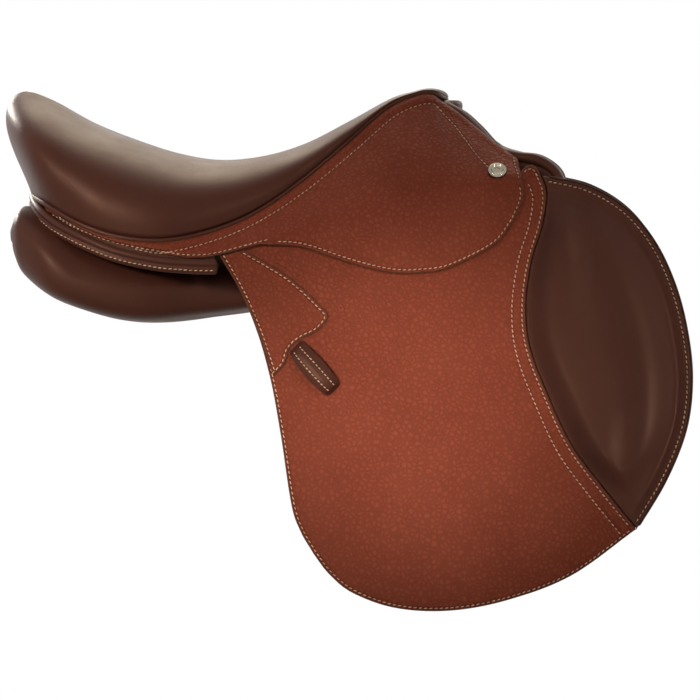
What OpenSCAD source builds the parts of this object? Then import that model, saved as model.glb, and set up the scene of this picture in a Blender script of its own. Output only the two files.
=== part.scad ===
/* [Seat] */
// Level length of the seat, from the back of the cantle to just past the skirt nails
seat_run = 430; // [405:5:455]
// Front end of the seat's length, ahead of the origin
seat_front_x = 134; // [124:1:144]
// Width across the seat at its widest
seat_w = 266; // [250:2:280]
// Height of the cantle above the bearing point
cantle_h = 190; // [180:1:200]
// Height of the pommel above the bearing point
pommel_h = 192; // [186:1:200]
// Height of the lowest part of the seat
dip_h = 130; // [124:1:136]
// Height of the seat's lower edge at the back
edge_back_h = 102; // [98:1:106]
// Height of the seat's lower edge at its lowest
edge_low_h = 65; // [62:1:68]
// How far the cantle swells behind the seat's lower edge
cantle_bulge = 22; // [16:1:26]
// Thickness of the seat leather
cover_t = 2.4; // [1.6:0.2:3]
// Thickness of the seat padding
foam_t = 22; // [16:1:24]
// Diameter of the piping under the seat
piping_d = 3; // [2.4:0.2:3.4]

/* [Bend line] */
// The line where flap and skirt bend, its back end along the saddle
bend_back_x = -98; // [-103:1:-93]
// The bend line's front end along the saddle
bend_front_x = 167; // [162:1:172]
// Half the width across the bend lines at the back
bend_back_half = 140; // [137:1:145]
// Half the width across the bend lines at the front
bend_front_half = 96; // [94:1:100]
// Height of the bend line's back end
bend_back_h = 52; // [50:1:54]
// Height of the bend line's front end
bend_front_h = 118; // [116:1:120]

/* [Flaps] */
// Depth of the flap below the bend line
flap_drop = 335; // [315:5:355]
// Length of the flap from back corner to knee
flap_len = 392; // [376:4:408]
// Width across the flaps at the bottom
flap_span = 388; // [372:4:404]
// Thickness of the outer flap leather
flap_t = 3; // [2.4:0.2:3.6]
// Thickness of the flap's lining leather
lining_t = 1.8; // [1.2:0.2:2.4]
// How far the knee pad swells
knee_bulge = 15; // [8:1:20]
// Thickness of the wear patch on the flap
patch_t = 1.6; // [1:0.2:2.4]
// Clear height under the keeper loop
keeper_lift = 9; // [8.5:0.5:11]
// Width of the keeper loop
keeper_w = 16; // [12:1:20]
// Thickness of the keeper loop
keeper_t = 2.6; // [2:0.2:3.4]

/* [Skirts] */
// Thickness of the skirt leather
skirt_t = 4; // [3:0.2:4.4]
// Diameter of the nail head
nail_d = 15; // [12:0.5:18]
// Height of the nail head
nail_h = 3.4; // [2.4:0.2:4.4]
// Diameter of the nail shank
nail_shank_d = 3; // [2:0.2:4]
// Width of the rolled pommel facing
roll_w = 11; // [9:0.5:12]
// Height of the rolled pommel facing
roll_h = 10; // [8:0.5:11]

/* [Panels] */
// Width across both panels
panel_w = 282; // [274:2:288]
// Width of the channel between the panels
channel_w = 76; // [68:2:84]
// Height of the panel at its thickest
panel_h = 66; // [60:1:70]
// Thickness of the cantle facing strip
facing_w = 8; // [6:0.5:9]
// Height of the cantle facing strip
facing_h = 9.6; // [8:0.2:9.8]

/* [Under the flaps] */
// Room between flap and sweat flap for the girth straps
strap_room = 20.5; // [20:0.5:23]
// Thickness of the sweat flap
sweat_t = 3; // [2.4:0.2:3.6]
// How far the knee block stands out
block_h = 11; // [7:1:11]
// Width of a girth strap
billet_w = 25; // [22:1:28]
// Thickness of a girth strap
billet_t = 4; // [3:0.2:4.4]
// Length of a girth strap below its stitching
billet_len = 205; // [185:5:210]
// Diameter of a buckle hole
hole_d = 6; // [5:0.5:7]
// Distance between buckle holes
hole_pitch = 24; // [20:1:26]
// Number of buckle holes in a strap
hole_n = 6; // [4:1:6]
// Distance between girth straps
billet_pitch = 36; // [34:1:38]
// Thickness of the girth web
web_t = 2.4; // [1.8:0.2:3]
// Thickness of the buckle guard
guard_t = 2; // [1.6:0.2:2.6]

/* [Tree] */
// Width of the tree's rails
rail_w = 18; // [14:1:20]
// Height of the tree's rails
rail_h = 14; // [12:1:16]
// Length of the tree's head along the saddle
head_w = 30; // [24:1:32]
// Thickness of the tree's head
head_t = 14; // [11:1:15]
// Thickness of the steel plates on the tree
plate_t = 3; // [2:0.5:3.5]
// Thickness of the gullet lining
gullet_t = 2.4; // [1.6:0.2:3]

/* [Stirrup bars] */
// Length of the stirrup bar
bar_len = 96; // [86:1:100]
// Height of the stirrup bar
bar_h = 14; // [12:1:15]
// Thickness of the stirrup bar
bar_t = 9; // [8:0.5:9.5]
// Clear slot behind the stirrup bar
bar_slot = 9; // [8.5:0.5:10]
// Thickness of the bar's back plate
back_t = 4; // [3:0.5:4.5]
// Length of the catch behind its pin
catch_len = 18; // [15:1:19]
// Thickness of the catch
catch_t = 4.6; // [3.6:0.2:5]
// Diameter of the catch pin
pin_d = 3; // [2.4:0.2:3.4]
// Diameter of the rivets
rivet_d = 5; // [4:0.5:5.5]

/* [Hidden] */

// Clearance between two layers of leather
layer_gap = 0.4;
// Overrun of every cut
over = 1;
// Radial play of a pin in its hole
pin_play = 0.05;
// Facets of the round holes and pins
round_n = 48;

calf = [0.24, 0.15, 0.13];
grain = [0.5, 0.2, 0.13];
wood = [0.76, 0.6, 0.42];
steel = [0.7, 0.71, 0.73];
webbing = [0.8, 0.76, 0.66];
padding = [0.87, 0.84, 0.74];

cantle_x = seat_front_x - seat_run;
seat_half = seat_w / 2;
flap_half = flap_span / 2;
panel_half = panel_w / 2;
channel_half = channel_w / 2;

// Depths of the layers under the skirt's outer face, measured across the saddle
flap_depth = skirt_t + layer_gap;
lining_depth = flap_depth + flap_t + layer_gap;
sweat_depth = lining_depth + lining_t + strap_room;
panel_depth = sweat_depth + sweat_t + layer_gap;

// Values between two others, and along a smooth curve through points
function mix(a, b, t) = a + (b - a) * t;
function unit(v) = v / norm(v);
function flat(rows) = [for (row = rows) each row];
function across(p) = [p[0], -p[1], p[2]];
function bow(t) = sin(180 * t);
function hermite(a, b, c, d, t) =
  (2 * b + (c - a) * t + (2 * a - 5 * b + 4 * c - d) * t * t + (3 * b - a - 3 * c + d) * t * t * t) / 2;
function curve(p, t, first = undef, last = undef) =
  let (n = len(p) - 1, k = min(n - 1, floor(t * n)))
  let (a = k > 0 ? p[k - 1] : (is_undef(first) ? 2 * p[0] - p[1] : first))
  let (d = k < n - 1 ? p[k + 2] : (is_undef(last) ? 2 * p[n] - p[n - 1] : last))
  hermite(a, p[k], p[k + 1], d, t * n - k);

// Patch stretched between four edge curves given as lists of points
function patch(top, base, back, front, u, v) =
  let (t = curve(top, u), b = curve(base, u), l = curve(back, v), r = curve(front, v))
  let (tl = top[0], tr = top[len(top) - 1], bl = base[0], br = base[len(base) - 1])
  mix(t, b, v) + mix(l, r, u) - mix(mix(tl, tr, u), mix(bl, br, u), v);

// Closed plate between two grids of points with the same rows
module plate(outer, inner) {
  n = len(outer);
  m = len(outer[0]);
  size = n * m;
  rim = concat([for (j = [0:m - 1]) j], [for (i = [1:n - 1]) i * m + m - 1],
    [for (j = [m - 2:-1:0]) (n - 1) * m + j], [for (i = [n - 2:-1:1]) i * m]);
  skin = [for (i = [0:n - 2], j = [0:m - 2]) let (a = i * m + j)
    each [[a, a + 1, a + m], [a + 1, a + m + 1, a + m]]];
  back = [for (f = skin) [f[0] + size, f[2] + size, f[1] + size]];
  edge = [for (k = [0:len(rim) - 1]) let (a = rim[k], b = rim[(k + 1) % len(rim)])
    each [[a, b + size, b], [a, a + size, b + size]]];
  polyhedron(concat(flat(outer), flat(inner)), concat(skin, back, edge));
}

// Closed tube through rings of points, joined end to end or capped at both ends
module tube(rings, loop = false) {
  n = len(rings);
  m = len(rings[0]);
  last = loop ? n - 1 : n - 2;
  wall = [for (i = [0:last], j = [0:m - 1])
    let (a = i * m + j, b = i * m + (j + 1) % m, c = ((i + 1) % n) * m)
    each [[a, c + j, b], [b, c + j, c + (j + 1) % m]]];
  caps = loop ? [] : [for (j = [1:m - 2]) each [[0, j, j + 1],
    [(n - 1) * m, (n - 1) * m + j + 1, (n - 1) * m + j]]];
  polyhedron(flat(rings), concat(wall, caps));
}

// Ring of a rounded bar: half width, half height, squareness and number of points
round_power = 2;
soft_power = 3;
square_power = 5;
function ring(a, b, power, n) = [for (k = [0:n - 1]) let (c = cos(360 * k / n), s = sin(360 * k / n))
  [a * sign(c) * pow(abs(c), 2 / power), b * sign(s) * pow(abs(s), 2 / power)]];
function along(p, i, loop) = let (n = len(p))
  unit(p[loop ? (i + 1) % n : min(n - 1, i + 1)] - p[loop ? (i + n - 1) % n : max(0, i - 1)]);

// Rings of one section carried along a path, kept level across the path
function swept(p, section, loop = false) = [for (i = [0:len(p) - 1])
  let (t = along(p, i, loop), side = unit(cross([0, 0, 1], t)), up = cross(t, side))
  [for (q = section) p[i] + side * q[0] + up * q[1]]];

// Right-hand pieces are drawn as they lie, left-hand ones are their mirror image
module right_or_left(left) {
  if (left)
    mirror([0, 1, 0]) children();
  else
    children();
}

// Seat: lower edge from the middle of the cantle round the right side to the pommel
edge_run_shares = [0.05, 0.061, 0.104, 0.172, 0.251, 0.34, 0.426, 0.514, 0.6, 0.688,
  0.77, 0.828, 0.856, 0.876, 0.886];
edge_half_shares = [0, 0.376, 0.75, 0.92, 1, 1.014, 0.93, 0.81, 0.69, 0.545,
  0.41, 0.312, 0.262, 0.17, 0];
edge_rise_shares = [1, 0.973, 0.81, 0.41, 0.104, 0, 0.047, 0.16, 0.33, 0.55,
  0.777, 0.929, 0.96, 0.944, 0.93];
edge_low_k = 5;
edge_pts = [for (k = [0:len(edge_run_shares) - 1])
  [cantle_x + edge_run_shares[k] * seat_run, -edge_half_shares[k] * seat_half,
   mix(edge_low_h, k < edge_low_k ? edge_back_h : pommel_h, edge_rise_shares[k])]];
function edge_pt(t) = curve(edge_pts, t, across(edge_pts[1]), across(edge_pts[len(edge_pts) - 2]));
edge_step_share = 0.01;
function edge_out(t) =
  let (d = edge_pt(min(1, t + edge_step_share)) - edge_pt(max(0, t - edge_step_share)))
  unit([d[1], -d[0], 0]);

// Seat: line along the top from the cantle to the pommel
ridge_run_shares = [0.033, 0.056, 0.102, 0.172, 0.251, 0.34, 0.426, 0.514, 0.6, 0.688,
  0.77, 0.816, 0.84, 0.858, 0.87];
ridge_rise_shares = [0.99, 0.955, 0.81, 0.53, 0.3, 0.095, 0, 0.053, 0.23, 0.54,
  0.848, 0.95, 0.99, 0.985, 0.955];
ridge_low_k = 6;
ridge_pts = [for (k = [0:len(ridge_run_shares) - 1])
  [cantle_x + ridge_run_shares[k] * seat_run, 0,
   mix(dip_h, k < ridge_low_k ? cantle_h : pommel_h, ridge_rise_shares[k])]];
bulge_shares = [1, 1, 0.9, 0.6, 0.35, 0.25, 0.25, 0.25, 0.2, 0.15, 0.1, 0.05, 0, 0, 0];
seat_power_share = 0.87;

// Point of the seat: t round its edge, w from the edge to the top, depth below the leather
function seat_pt(t, w, depth) =
  let (a = edge_pt(t), c = curve(ridge_pts, t), out = edge_out(t))
  let (swell = cantle_bulge * curve(bulge_shares, t) * bow(w))
  let (level = 1 - pow(cos(90 * w), seat_power_share), rise = pow(sin(90 * w), seat_power_share))
  let (low = a - out * depth, high = c - out * depth - [0, 0, depth])
  [mix(low[0], high[0], level) + out[0] * swell, mix(low[1], 0, level) + out[1] * swell,
   mix(low[2], high[2], rise)];

seat_cols = 28;
seat_rows = 8;
function fold(i) = i <= seat_cols ? i : 2 * seat_cols - i;
function seat_skin(depth) = concat(
  [for (j = [0:seat_rows - 1], i = [0:2 * seat_cols - 1])
    let (p = seat_pt(fold(i) / seat_cols, j / seat_rows, depth)) i <= seat_cols ? p : across(p)],
  [for (i = [0:seat_cols]) seat_pt(i / seat_cols, 1, depth)]);

// Shell of the seat between two depths, each square of its skin split along the shorter diagonal
module seat_shell(upper, lower) {
  ring_n = 2 * seat_cols;
  top = ring_n * seat_rows;
  size = top + seat_cols + 1;
  grid = seat_skin(0);
  function above(j, i) = j < seat_rows - 1 ? (j + 1) * ring_n + i : top + fold(i);
  skin = [for (j = [0:seat_rows - 1], i = [0:ring_n - 1])
    let (k = (i + 1) % ring_n, a = j * ring_n + i, b = j * ring_n + k, c = above(j, i), d = above(j, k))
    each norm(grid[a] - grid[d]) < norm(grid[b] - grid[c]) ? [[a, c, d], [a, d, b]] : [[a, c, b], [b, c, d]]];
  back = [for (f = skin) [f[0] + size, f[2] + size, f[1] + size]];
  edge = [for (i = [0:ring_n - 1]) let (b = (i + 1) % ring_n)
    each [[i, b, b + size], [i, b + size, i + size]]];
  polyhedron(concat(seat_skin(upper), seat_skin(lower)), concat(skin, back, edge));
}

foam_depth = cover_t + layer_gap;
web_depth = foam_depth + foam_t + 2 * layer_gap;

module seat_cover() {
  color(calf) seat_shell(0, cover_t);
}

module seat_foam() {
  color(padding) seat_shell(foam_depth, foam_depth + foam_t);
}

// Bands of webbing under the padding, on the same columns and rows as the padding's skin
web_cols = [6, 8, 10];
web_first_row = 3;
function web_row(col, depth) = concat(
  [for (j = [web_first_row:seat_rows]) seat_pt(col / seat_cols, j / seat_rows, depth)],
  [for (j = [seat_rows - 1:-1:web_first_row]) across(seat_pt(col / seat_cols, j / seat_rows, depth))]);
module seat_webs() {
  color(webbing)
    for (col = web_cols) {
      ends = [col, col + 1];
      plate([for (c = ends) web_row(c, web_depth)], [for (c = ends) web_row(c, web_depth + web_t)]);
    }
}

// Height of the webs' underside at a share of the seat's length and a distance from the middle
edge_places = [for (k = [0:len(edge_run_shares) - 1]) [edge_run_shares[k], k / (len(edge_run_shares) - 1)]];
function seat_under(run, half) =
  let (t = lookup(run, edge_places), a = edge_pt(t), c = curve(ridge_pts, t))
  let (out = half < -a[1] ? -half / a[1] : 1, angle = acos(pow(out, 1 / seat_power_share)))
  mix(a[2], c[2] - web_depth - web_t, pow(sin(angle), seat_power_share));

// Piping on the lower edge of the seat
piping_sides = 6;
piping_cols = 26;
module seat_piping() {
  drop = piping_d / 2 + layer_gap;
  path = [for (i = [0:2 * piping_cols - 1])
    let (k = i <= piping_cols ? i : 2 * piping_cols - i, p = edge_pt(k / piping_cols) - [0, 0, drop])
    i <= piping_cols ? p : across(p)];
  color(calf) tube(swept(path, ring(piping_d / 2, piping_d / 2, round_power, piping_sides), true), true);
}

// Bend line of the skirts and flaps, and the surface that hangs from it
function bend_at(x) = (x - bend_back_x) / (bend_front_x - bend_back_x);
function bend_half(x) = mix(bend_back_half, bend_front_half, bend_at(x));
function bend_z(x) = mix(bend_back_h, bend_front_h, bend_at(x));
hang_share = 0.2;
function hang(t) = t * (1 + hang_share - hang_share * t);
function side_half(x, drop) = mix(bend_half(x), flap_half, hang(drop / flap_drop));
function on_side(x, drop, depth) = [x, -(side_half(x, drop) - depth), bend_z(x) - drop];
function placed(shares) = [for (s = shares) [bend_back_x + s[0] * flap_len, s[1] * flap_drop]];

// Grid of a patch on the hanging surface, at one depth
function side_grid(top, base, back, front, cols, rows, depth) =
  [for (j = [0:rows]) [for (i = [0:cols])
    let (q = patch(top, base, back, front, i / cols, j / rows)) on_side(q[0], q[1], depth)]];

// Skirt: top edge along the seat and down the pommel, bottom edge along the tail and the bend line
skirt_first_k = 2;
skirt_last_k = 12;
front_run_shares = [0.8732, 0.9035, 0.934, 0.974, 1.018];
front_half_shares = [0.32, 0.39, 0.47, 0.59, 0.76];
front_rise_shares = [0.943, 0.912, 0.861, 0.782, 0.698];
tail_run_shares = [0.108, 0.183, 0.268, 0.354, 0.43];
tail_half_shares = [0.716, 0.871, 0.958, 1, 1.0143];
tail_rise_shares = [1.68, 1.37, 1.14, 0.99, 0.952];
bend_run_shares = [0.117, 0.277, 0.42, 0.56, 0.663, 0.716, 0.754, 0.792, 0.83, 0.883, 0.939];
skirt_swell_share = 0.06;
skirt_top = concat(
  [for (k = [skirt_first_k:skirt_last_k]) edge_pts[k] - [0, layer_gap, piping_d + 3 * layer_gap]],
  [for (k = [0:len(front_run_shares) - 1]) [cantle_x + front_run_shares[k] * seat_run,
    -front_half_shares[k] * bend_front_half, front_rise_shares[k] * pommel_h]]);
skirt_base = concat(
  [for (k = [0:len(tail_run_shares) - 1]) [cantle_x + tail_run_shares[k] * seat_run,
    -tail_half_shares[k] * bend_back_half, tail_rise_shares[k] * bend_back_h]],
  [for (s = bend_run_shares) on_side(mix(bend_back_x, bend_front_x, s), -layer_gap, 0)]);
function skirt_pt(u, v) = let (a = curve(skirt_top, u), b = curve(skirt_base, u))
  mix(a, b, v) - [0, skirt_swell_share * norm(b - a) * bow(v), 0];

// Skirt nails: place on the skirt, and the direction that they point
nail_u_share = 0.917;
nail_v_share = 0.77;
nail_at = skirt_pt(nail_u_share, nail_v_share);
nail_step_share = 0.02;
nail_dir = let (a = skirt_pt(nail_u_share - nail_step_share, nail_v_share))
  let (b = skirt_pt(nail_u_share, nail_v_share + nail_step_share))
  unit(cross(b - nail_at, nail_at - a));
module on_nail() {
  translate(nail_at)
    rotate([0, acos(nail_dir[2]), atan2(nail_dir[1], nail_dir[0])])
      children();
}

skirt_cols = 30;
skirt_rows = 6;
module skirt() {
  outer = [for (j = [0:skirt_rows]) [for (i = [0:skirt_cols]) skirt_pt(i / skirt_cols, j / skirt_rows)]];
  inner = [for (row = outer) [for (p = row) p + [0, skirt_t, 0]]];
  color(grain)
    difference() {
      plate(outer, inner);
      on_nail()
        cylinder(d = nail_shank_d + 2 * pin_play, h = 4 * skirt_t, center = true, $fn = round_n);
    }
}

// Nail with a dished head, seated on the skirt
nail_dish_share = 0.45;
nail_lip_share = 0.72;
module skirt_nail() {
  r = nail_d / 2;
  seat = 2 * layer_gap;
  color(steel) on_nail() {
    translate([0, 0, seat])
      rotate_extrude($fn = round_n)
        polygon([[0, 0], [r, 0], [r, nail_h * nail_dish_share], [r * nail_lip_share, nail_h],
          [r * nail_dish_share, nail_h * nail_dish_share], [0, nail_h * nail_lip_share]]);
    translate([0, 0, -skirt_t])
      cylinder(d = nail_shank_d, h = skirt_t + seat, $fn = round_n);
  }
}

// Lower skirt, which lifts about the bend line
belly_top_shares = [[0.09, 0.0012], [0.37, 0.0012], [0.63, 0.0012]];
belly_base_shares = [[0.097, 0.008], [0.17, 0.033], [0.273, 0.102], [0.358, 0.15], [0.421, 0.169],
  [0.484, 0.175], [0.578, 0.146], [0.62, 0.097]];
belly_back_shares = [[0.09, 0.0012], [0.097, 0.008]];
belly_front_shares = [[0.63, 0.0012], [0.639, 0.045], [0.62, 0.097]];
belly_cols = 18;
belly_rows = 4;
module skirt_belly() {
  function face(depth) = side_grid(placed(belly_top_shares), placed(belly_base_shares),
    placed(belly_back_shares), placed(belly_front_shares), belly_cols, belly_rows, depth);
  color(grain) plate(face(0), face(skirt_t));
}

// Place of the stirrup bar on the flap, and points beside it as shares of the bar's length and height
bar_run_share = 0.482;
bar_x = bend_back_x + bar_run_share * flap_len;
bar_drop = 19;
function beside_bar(shares) = [for (s = shares) [bar_x + s[0] * bar_len, bar_drop + s[1] * bar_h]];

// Flap outlines as shares of the flap's length and depth, with a window for the stirrup bar
flap_rear_shares = [[-0.004, 0.006], [0.15, 0.006]];
flap_window_shares = [[-0.825, -1.166], [-0.653, 0.318], [-0.457, 1.155], [-0.008, 1.323],
  [0.359, 1.155], [0.539, 0.079]];
flap_corner_shares = [[0.636, -0.012], [0.645, -0.036], [0.66, -0.025], [0.676, -0.004]];
flap_top = concat(placed(flap_rear_shares), beside_bar(flap_window_shares), placed(flap_corner_shares));
flap_back_shares = [[-0.004, 0.006], [0.042, 0.103], [0.081, 0.22], [0.111, 0.348], [0.134, 0.49],
  [0.157, 0.655], [0.208, 0.814]];
flap_base_shares = [[0.208, 0.814], [0.275, 0.899], [0.378, 0.968], [0.49, 1.003], [0.61, 1.011],
  [0.742, 0.989], [0.876, 0.916]];
flap_seam_shares = [[0.676, -0.004], [0.684, 0.055], [0.674, 0.125], [0.654, 0.21], [0.643, 0.315],
  [0.653, 0.42], [0.695, 0.557], [0.74, 0.677], [0.803, 0.793], [0.876, 0.916]];
knee_edge_shares = [[0.686, 0.008], [0.777, 0.06], [0.857, 0.139], [0.915, 0.236], [0.956, 0.348],
  [0.981, 0.464], [0.992, 0.586], [0.98, 0.705], [0.938, 0.816], [0.879, 0.914]];
flap_cols = 22;
flap_rows = 11;

module flap() {
  function face(depth) = side_grid(flap_top, placed(flap_base_shares),
    placed(flap_back_shares), placed(flap_seam_shares), flap_cols, flap_rows, depth);
  color(grain) plate(face(flap_depth), face(flap_depth + flap_t));
}

// Lining behind flap and knee pad, drawn in a little from their edges
lining_rear_shares = [[0.004, 0.016], [0.15, 0.016]];
lining_window_shares = [[-0.825, -0.879], [-0.653, 0.557], [-0.457, 1.395], [-0.008, 1.562],
  [0.359, 1.395], [0.531, 0.318]];
lining_corner_shares = [[0.665, 0.012]];
lining_top = concat(placed(lining_rear_shares), beside_bar(lining_window_shares),
  placed(lining_corner_shares));
lining_back_shares = [[0.004, 0.016], [0.05, 0.11], [0.089, 0.225], [0.118, 0.35], [0.141, 0.49],
  [0.165, 0.65], [0.216, 0.802]];
lining_base_shares = [[0.216, 0.802], [0.282, 0.888], [0.382, 0.956], [0.49, 0.992], [0.61, 1],
  [0.735, 0.976], [0.869, 0.907]];
lining_front_shares = [[0.665, 0.012], [0.768, 0.068], [0.847, 0.146], [0.905, 0.241], [0.946, 0.351],
  [0.971, 0.465], [0.982, 0.584], [0.971, 0.697], [0.93, 0.806], [0.869, 0.907]];
lining_cols = 14;
lining_rows = 9;
module flap_lining() {
  function face(depth) = side_grid(lining_top, placed(lining_base_shares),
    placed(lining_back_shares), placed(lining_front_shares), lining_cols, lining_rows, depth);
  color(calf) plate(face(lining_depth), face(lining_depth + lining_t));
}

// Knee pad between the flap's seam and its own front edge, swollen inside a flat margin
knee_cols = 9;
knee_rows = 16;
knee_margin_share = 0.1;
knee_power_share = 0.55;
knee_seam_gap = 1;
knee_first_share = 0.03;
knee_last_share = 0.995;
function inside(t) = min(1, max(0, (t - knee_margin_share) / (1 - 2 * knee_margin_share)));
function swell(t) = pow(bow(inside(t)), knee_power_share);
function knee_pt(u, v, bulge) =
  let (a = curve(placed(flap_seam_shares), mix(knee_first_share, knee_last_share, v)) + [knee_seam_gap, 0])
  let (q = mix(a, curve(placed(knee_edge_shares), v), u))
  on_side(q[0], q[1], flap_depth - bulge * swell(u) * swell(v));
module knee_pad() {
  outer = [for (j = [0:knee_rows]) [for (i = [0:knee_cols])
    knee_pt(i / knee_cols, j / knee_rows, knee_bulge)]];
  inner = [for (j = [0:knee_rows]) [for (i = [0:knee_cols])
    knee_pt(i / knee_cols, j / knee_rows, 0) + [0, flap_t, 0]]];
  color(calf) plate(outer, inner);
}

// Wear patch at the back of the flap
wear_top_shares = [[0.006, 0.02], [0.03, 0.015], [0.056, 0.015]];
wear_back_shares = [[0.006, 0.02], [0.046, 0.11], [0.084, 0.22], [0.112, 0.328]];
wear_base_shares = [[0.112, 0.328], [0.142, 0.305], [0.188, 0.264]];
wear_front_shares = [[0.056, 0.015], [0.143, 0.094], [0.208, 0.174], [0.226, 0.218], [0.188, 0.264]];
wear_cols = 5;
wear_rows = 9;
module flap_patch() {
  function face(depth) = side_grid(placed(wear_top_shares), placed(wear_base_shares),
    placed(wear_back_shares), placed(wear_front_shares), wear_cols, wear_rows, depth);
  color(grain) plate(face(flap_depth - layer_gap - patch_t), face(flap_depth - layer_gap));
}

// Keeper loop: a strap that arches off the flap, from the patch to the flap below it
keeper_ends_shares = [[0.16, 0.272], [0.246, 0.406]];
keeper_cols = 3;
keeper_rows = 12;
keeper_arch_power = 4;
function keeper_arch(t) = 1 - pow(abs(2 * t - 1), keeper_arch_power);
module keeper() {
  ends = placed(keeper_ends_shares);
  way = unit(ends[1] - ends[0]);
  side = [way[1], -way[0]];
  function face(lift) = [for (j = [0:keeper_rows]) [for (i = [0:keeper_cols])
    let (t = j / keeper_rows, off = mix(-keeper_w, keeper_w, i / keeper_cols) / 2)
    let (q = mix(ends[0], ends[1], t) + side * off)
    let (seat = mix(patch_t + layer_gap, 0, t) + layer_gap)
    on_side(q[0], q[1], flap_depth - seat - keeper_lift * keeper_arch(t) - lift)]];
  color(calf) plate(face(keeper_t), face(0));
}

// Sweat flap under the girth straps
sweat_top_shares = [[0.085, 0.115], [0.3, 0.115], [0.5, 0.115], [0.68, 0.115]];
sweat_back_shares = [[0.085, 0.115], [0.13, 0.27], [0.165, 0.45], [0.19, 0.63], [0.245, 0.78]];
sweat_base_shares = [[0.245, 0.78], [0.32, 0.87], [0.44, 0.93], [0.59, 0.945], [0.74, 0.915], [0.835, 0.855]];
sweat_front_shares = [[0.68, 0.115], [0.765, 0.21], [0.835, 0.345], [0.875, 0.49], [0.89, 0.61],
  [0.875, 0.745], [0.835, 0.855]];
sweat_cols = 10;
sweat_rows = 8;
module sweat_flap() {
  function face(depth) = side_grid(placed(sweat_top_shares), placed(sweat_base_shares),
    placed(sweat_back_shares), placed(sweat_front_shares), sweat_cols, sweat_rows, depth);
  color(calf) plate(face(sweat_depth), face(sweat_depth + sweat_t));
}

// Knee block on the front of the sweat flap
block_back_shares = [[0.69, 0.17], [0.745, 0.32], [0.775, 0.48], [0.785, 0.62]];
block_front_shares = [[0.72, 0.165], [0.815, 0.32], [0.855, 0.48], [0.865, 0.62]];
block_cols = 6;
block_rows = 10;
function block_pt(u, v, lift) =
  let (q = mix(curve(placed(block_back_shares), v), curve(placed(block_front_shares), v), u))
  on_side(q[0], q[1], sweat_depth - layer_gap - lift);
block_skin_share = 0.25;
block_power_share = 0.6;
module knee_block() {
  outer = [for (j = [0:block_rows]) [for (i = [0:block_cols])
    let (u = i / block_cols, v = j / block_rows)
    block_pt(u, v, block_h * mix(block_skin_share, 1, pow(bow(u) * bow(v), block_power_share)))]];
  inner = [for (j = [0:block_rows]) [for (i = [0:block_cols]) block_pt(i / block_cols, j / block_rows, 0)]];
  color(calf) plate(outer, inner);
}

// Girth straps: pivot below the bend line; the middle strap hangs in a plane outside the other two
pivot_drop = 56;
billet_mid_x = 48;
billet_end = 11;
strap_play = 0.8;
strap_pass = 3.6;
function strap_depth(k) = sweat_depth - layer_gap - web_t - strap_play - billet_t / 2
  - (k == 0 ? billet_t + strap_pass : 0);
function billet_x(k) = billet_mid_x + k * billet_pitch;
function billet_top(k) = on_side(billet_x(k), pivot_drop, strap_depth(k));
function billet_low(k) = on_side(billet_x(k), pivot_drop + billet_len, strap_depth(k));
function billet_lean(k) = let (d = billet_low(k) - billet_top(k)) atan2(-d[1], -d[2]);
function billet_yaw(k) = let (x = billet_x(k), rise = bend_z(x + billet_w) - bend_z(x))
  let (d = on_side(x + billet_w, pivot_drop + rise, 0) - on_side(x, pivot_drop, 0)) atan2(d[1], d[0]);

// Frame on a strap's pivot: x along the saddle's side, y into the saddle, z up the strap
module on_billet(k) {
  translate(billet_top(k))
    rotate([-billet_lean(k), 0, billet_yaw(k)])
      children();
}

module rounded_strap(w, low, high, t) {
  rotate([90, 0, 0])
    linear_extrude(t, center = true) {
      translate([-w / 2, low + w / 2]) square([w, high - low - w]);
      translate([0, low + w / 2]) circle(d = w, $fn = round_n);
      translate([0, high - w / 2]) circle(d = w, $fn = round_n);
    }
}

billet_tip = 22;
module billet(k) {
  color(calf) on_billet(k)
    difference() {
      rounded_strap(billet_w, -billet_len, billet_end, billet_t);
      for (i = [0:hole_n - 1])
        translate([0, 0, -billet_len + billet_tip + i * hole_pitch])
          rotate([90, 0, 0])
            cylinder(d = hole_d, h = billet_t + 2 * over, center = true, $fn = round_n);
    }
}

// Girth web sewn to the sweat flap behind the straps, doubled under the middle strap
web_top_drop = 40;
web_low_drop = 70;
web_side = 8;
web_pad_w = 18;
web_back_x = billet_x(-1) - billet_w / 2 - web_side;
web_front_x = billet_x(1) + billet_w / 2 + web_side;
web_face = sweat_depth - layer_gap - web_t;
girth_cols = 6;
girth_rows = 2;
function girth_grid(back, front, high, low, depth) = [for (j = [0:girth_rows]) [for (i = [0:girth_cols])
  on_side(mix(back, front, i / girth_cols), mix(high, low, j / girth_rows), depth)]];
module girth_web() {
  function sheet(depth) = girth_grid(web_back_x, web_front_x, web_top_drop, web_low_drop, depth);
  function pad(depth) = girth_grid(billet_mid_x - web_pad_w / 2, billet_mid_x + web_pad_w / 2,
    pivot_drop - billet_end, web_low_drop - billet_end / 2, depth);
  color(webbing) {
    plate(sheet(web_face), sheet(web_face + web_t));
    plate(pad(strap_depth(0) + billet_t / 2 + strap_play), pad(web_face + web_t / 2));
  }
}

// Buckle guard: a leather sheet over the tops of the straps, turned in to the web above them
guard_drop = 52;
guard_turn = 3;
module buckle_guard() {
  depth = strap_depth(0) - billet_t / 2 - strap_play - layer_gap - guard_t;
  turn_low = pivot_drop - billet_end - 2 * layer_gap;
  turn_high = turn_low - guard_turn;
  function sheet(d, low) = girth_grid(web_back_x, web_front_x, turn_high, low, d);
  color(calf) {
    plate(sheet(depth, pivot_drop + guard_drop), sheet(depth + guard_t, pivot_drop + guard_drop));
    plate(sheet(depth + guard_t / 2, turn_low), sheet(web_face - layer_gap, turn_low));
  }
}

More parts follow.
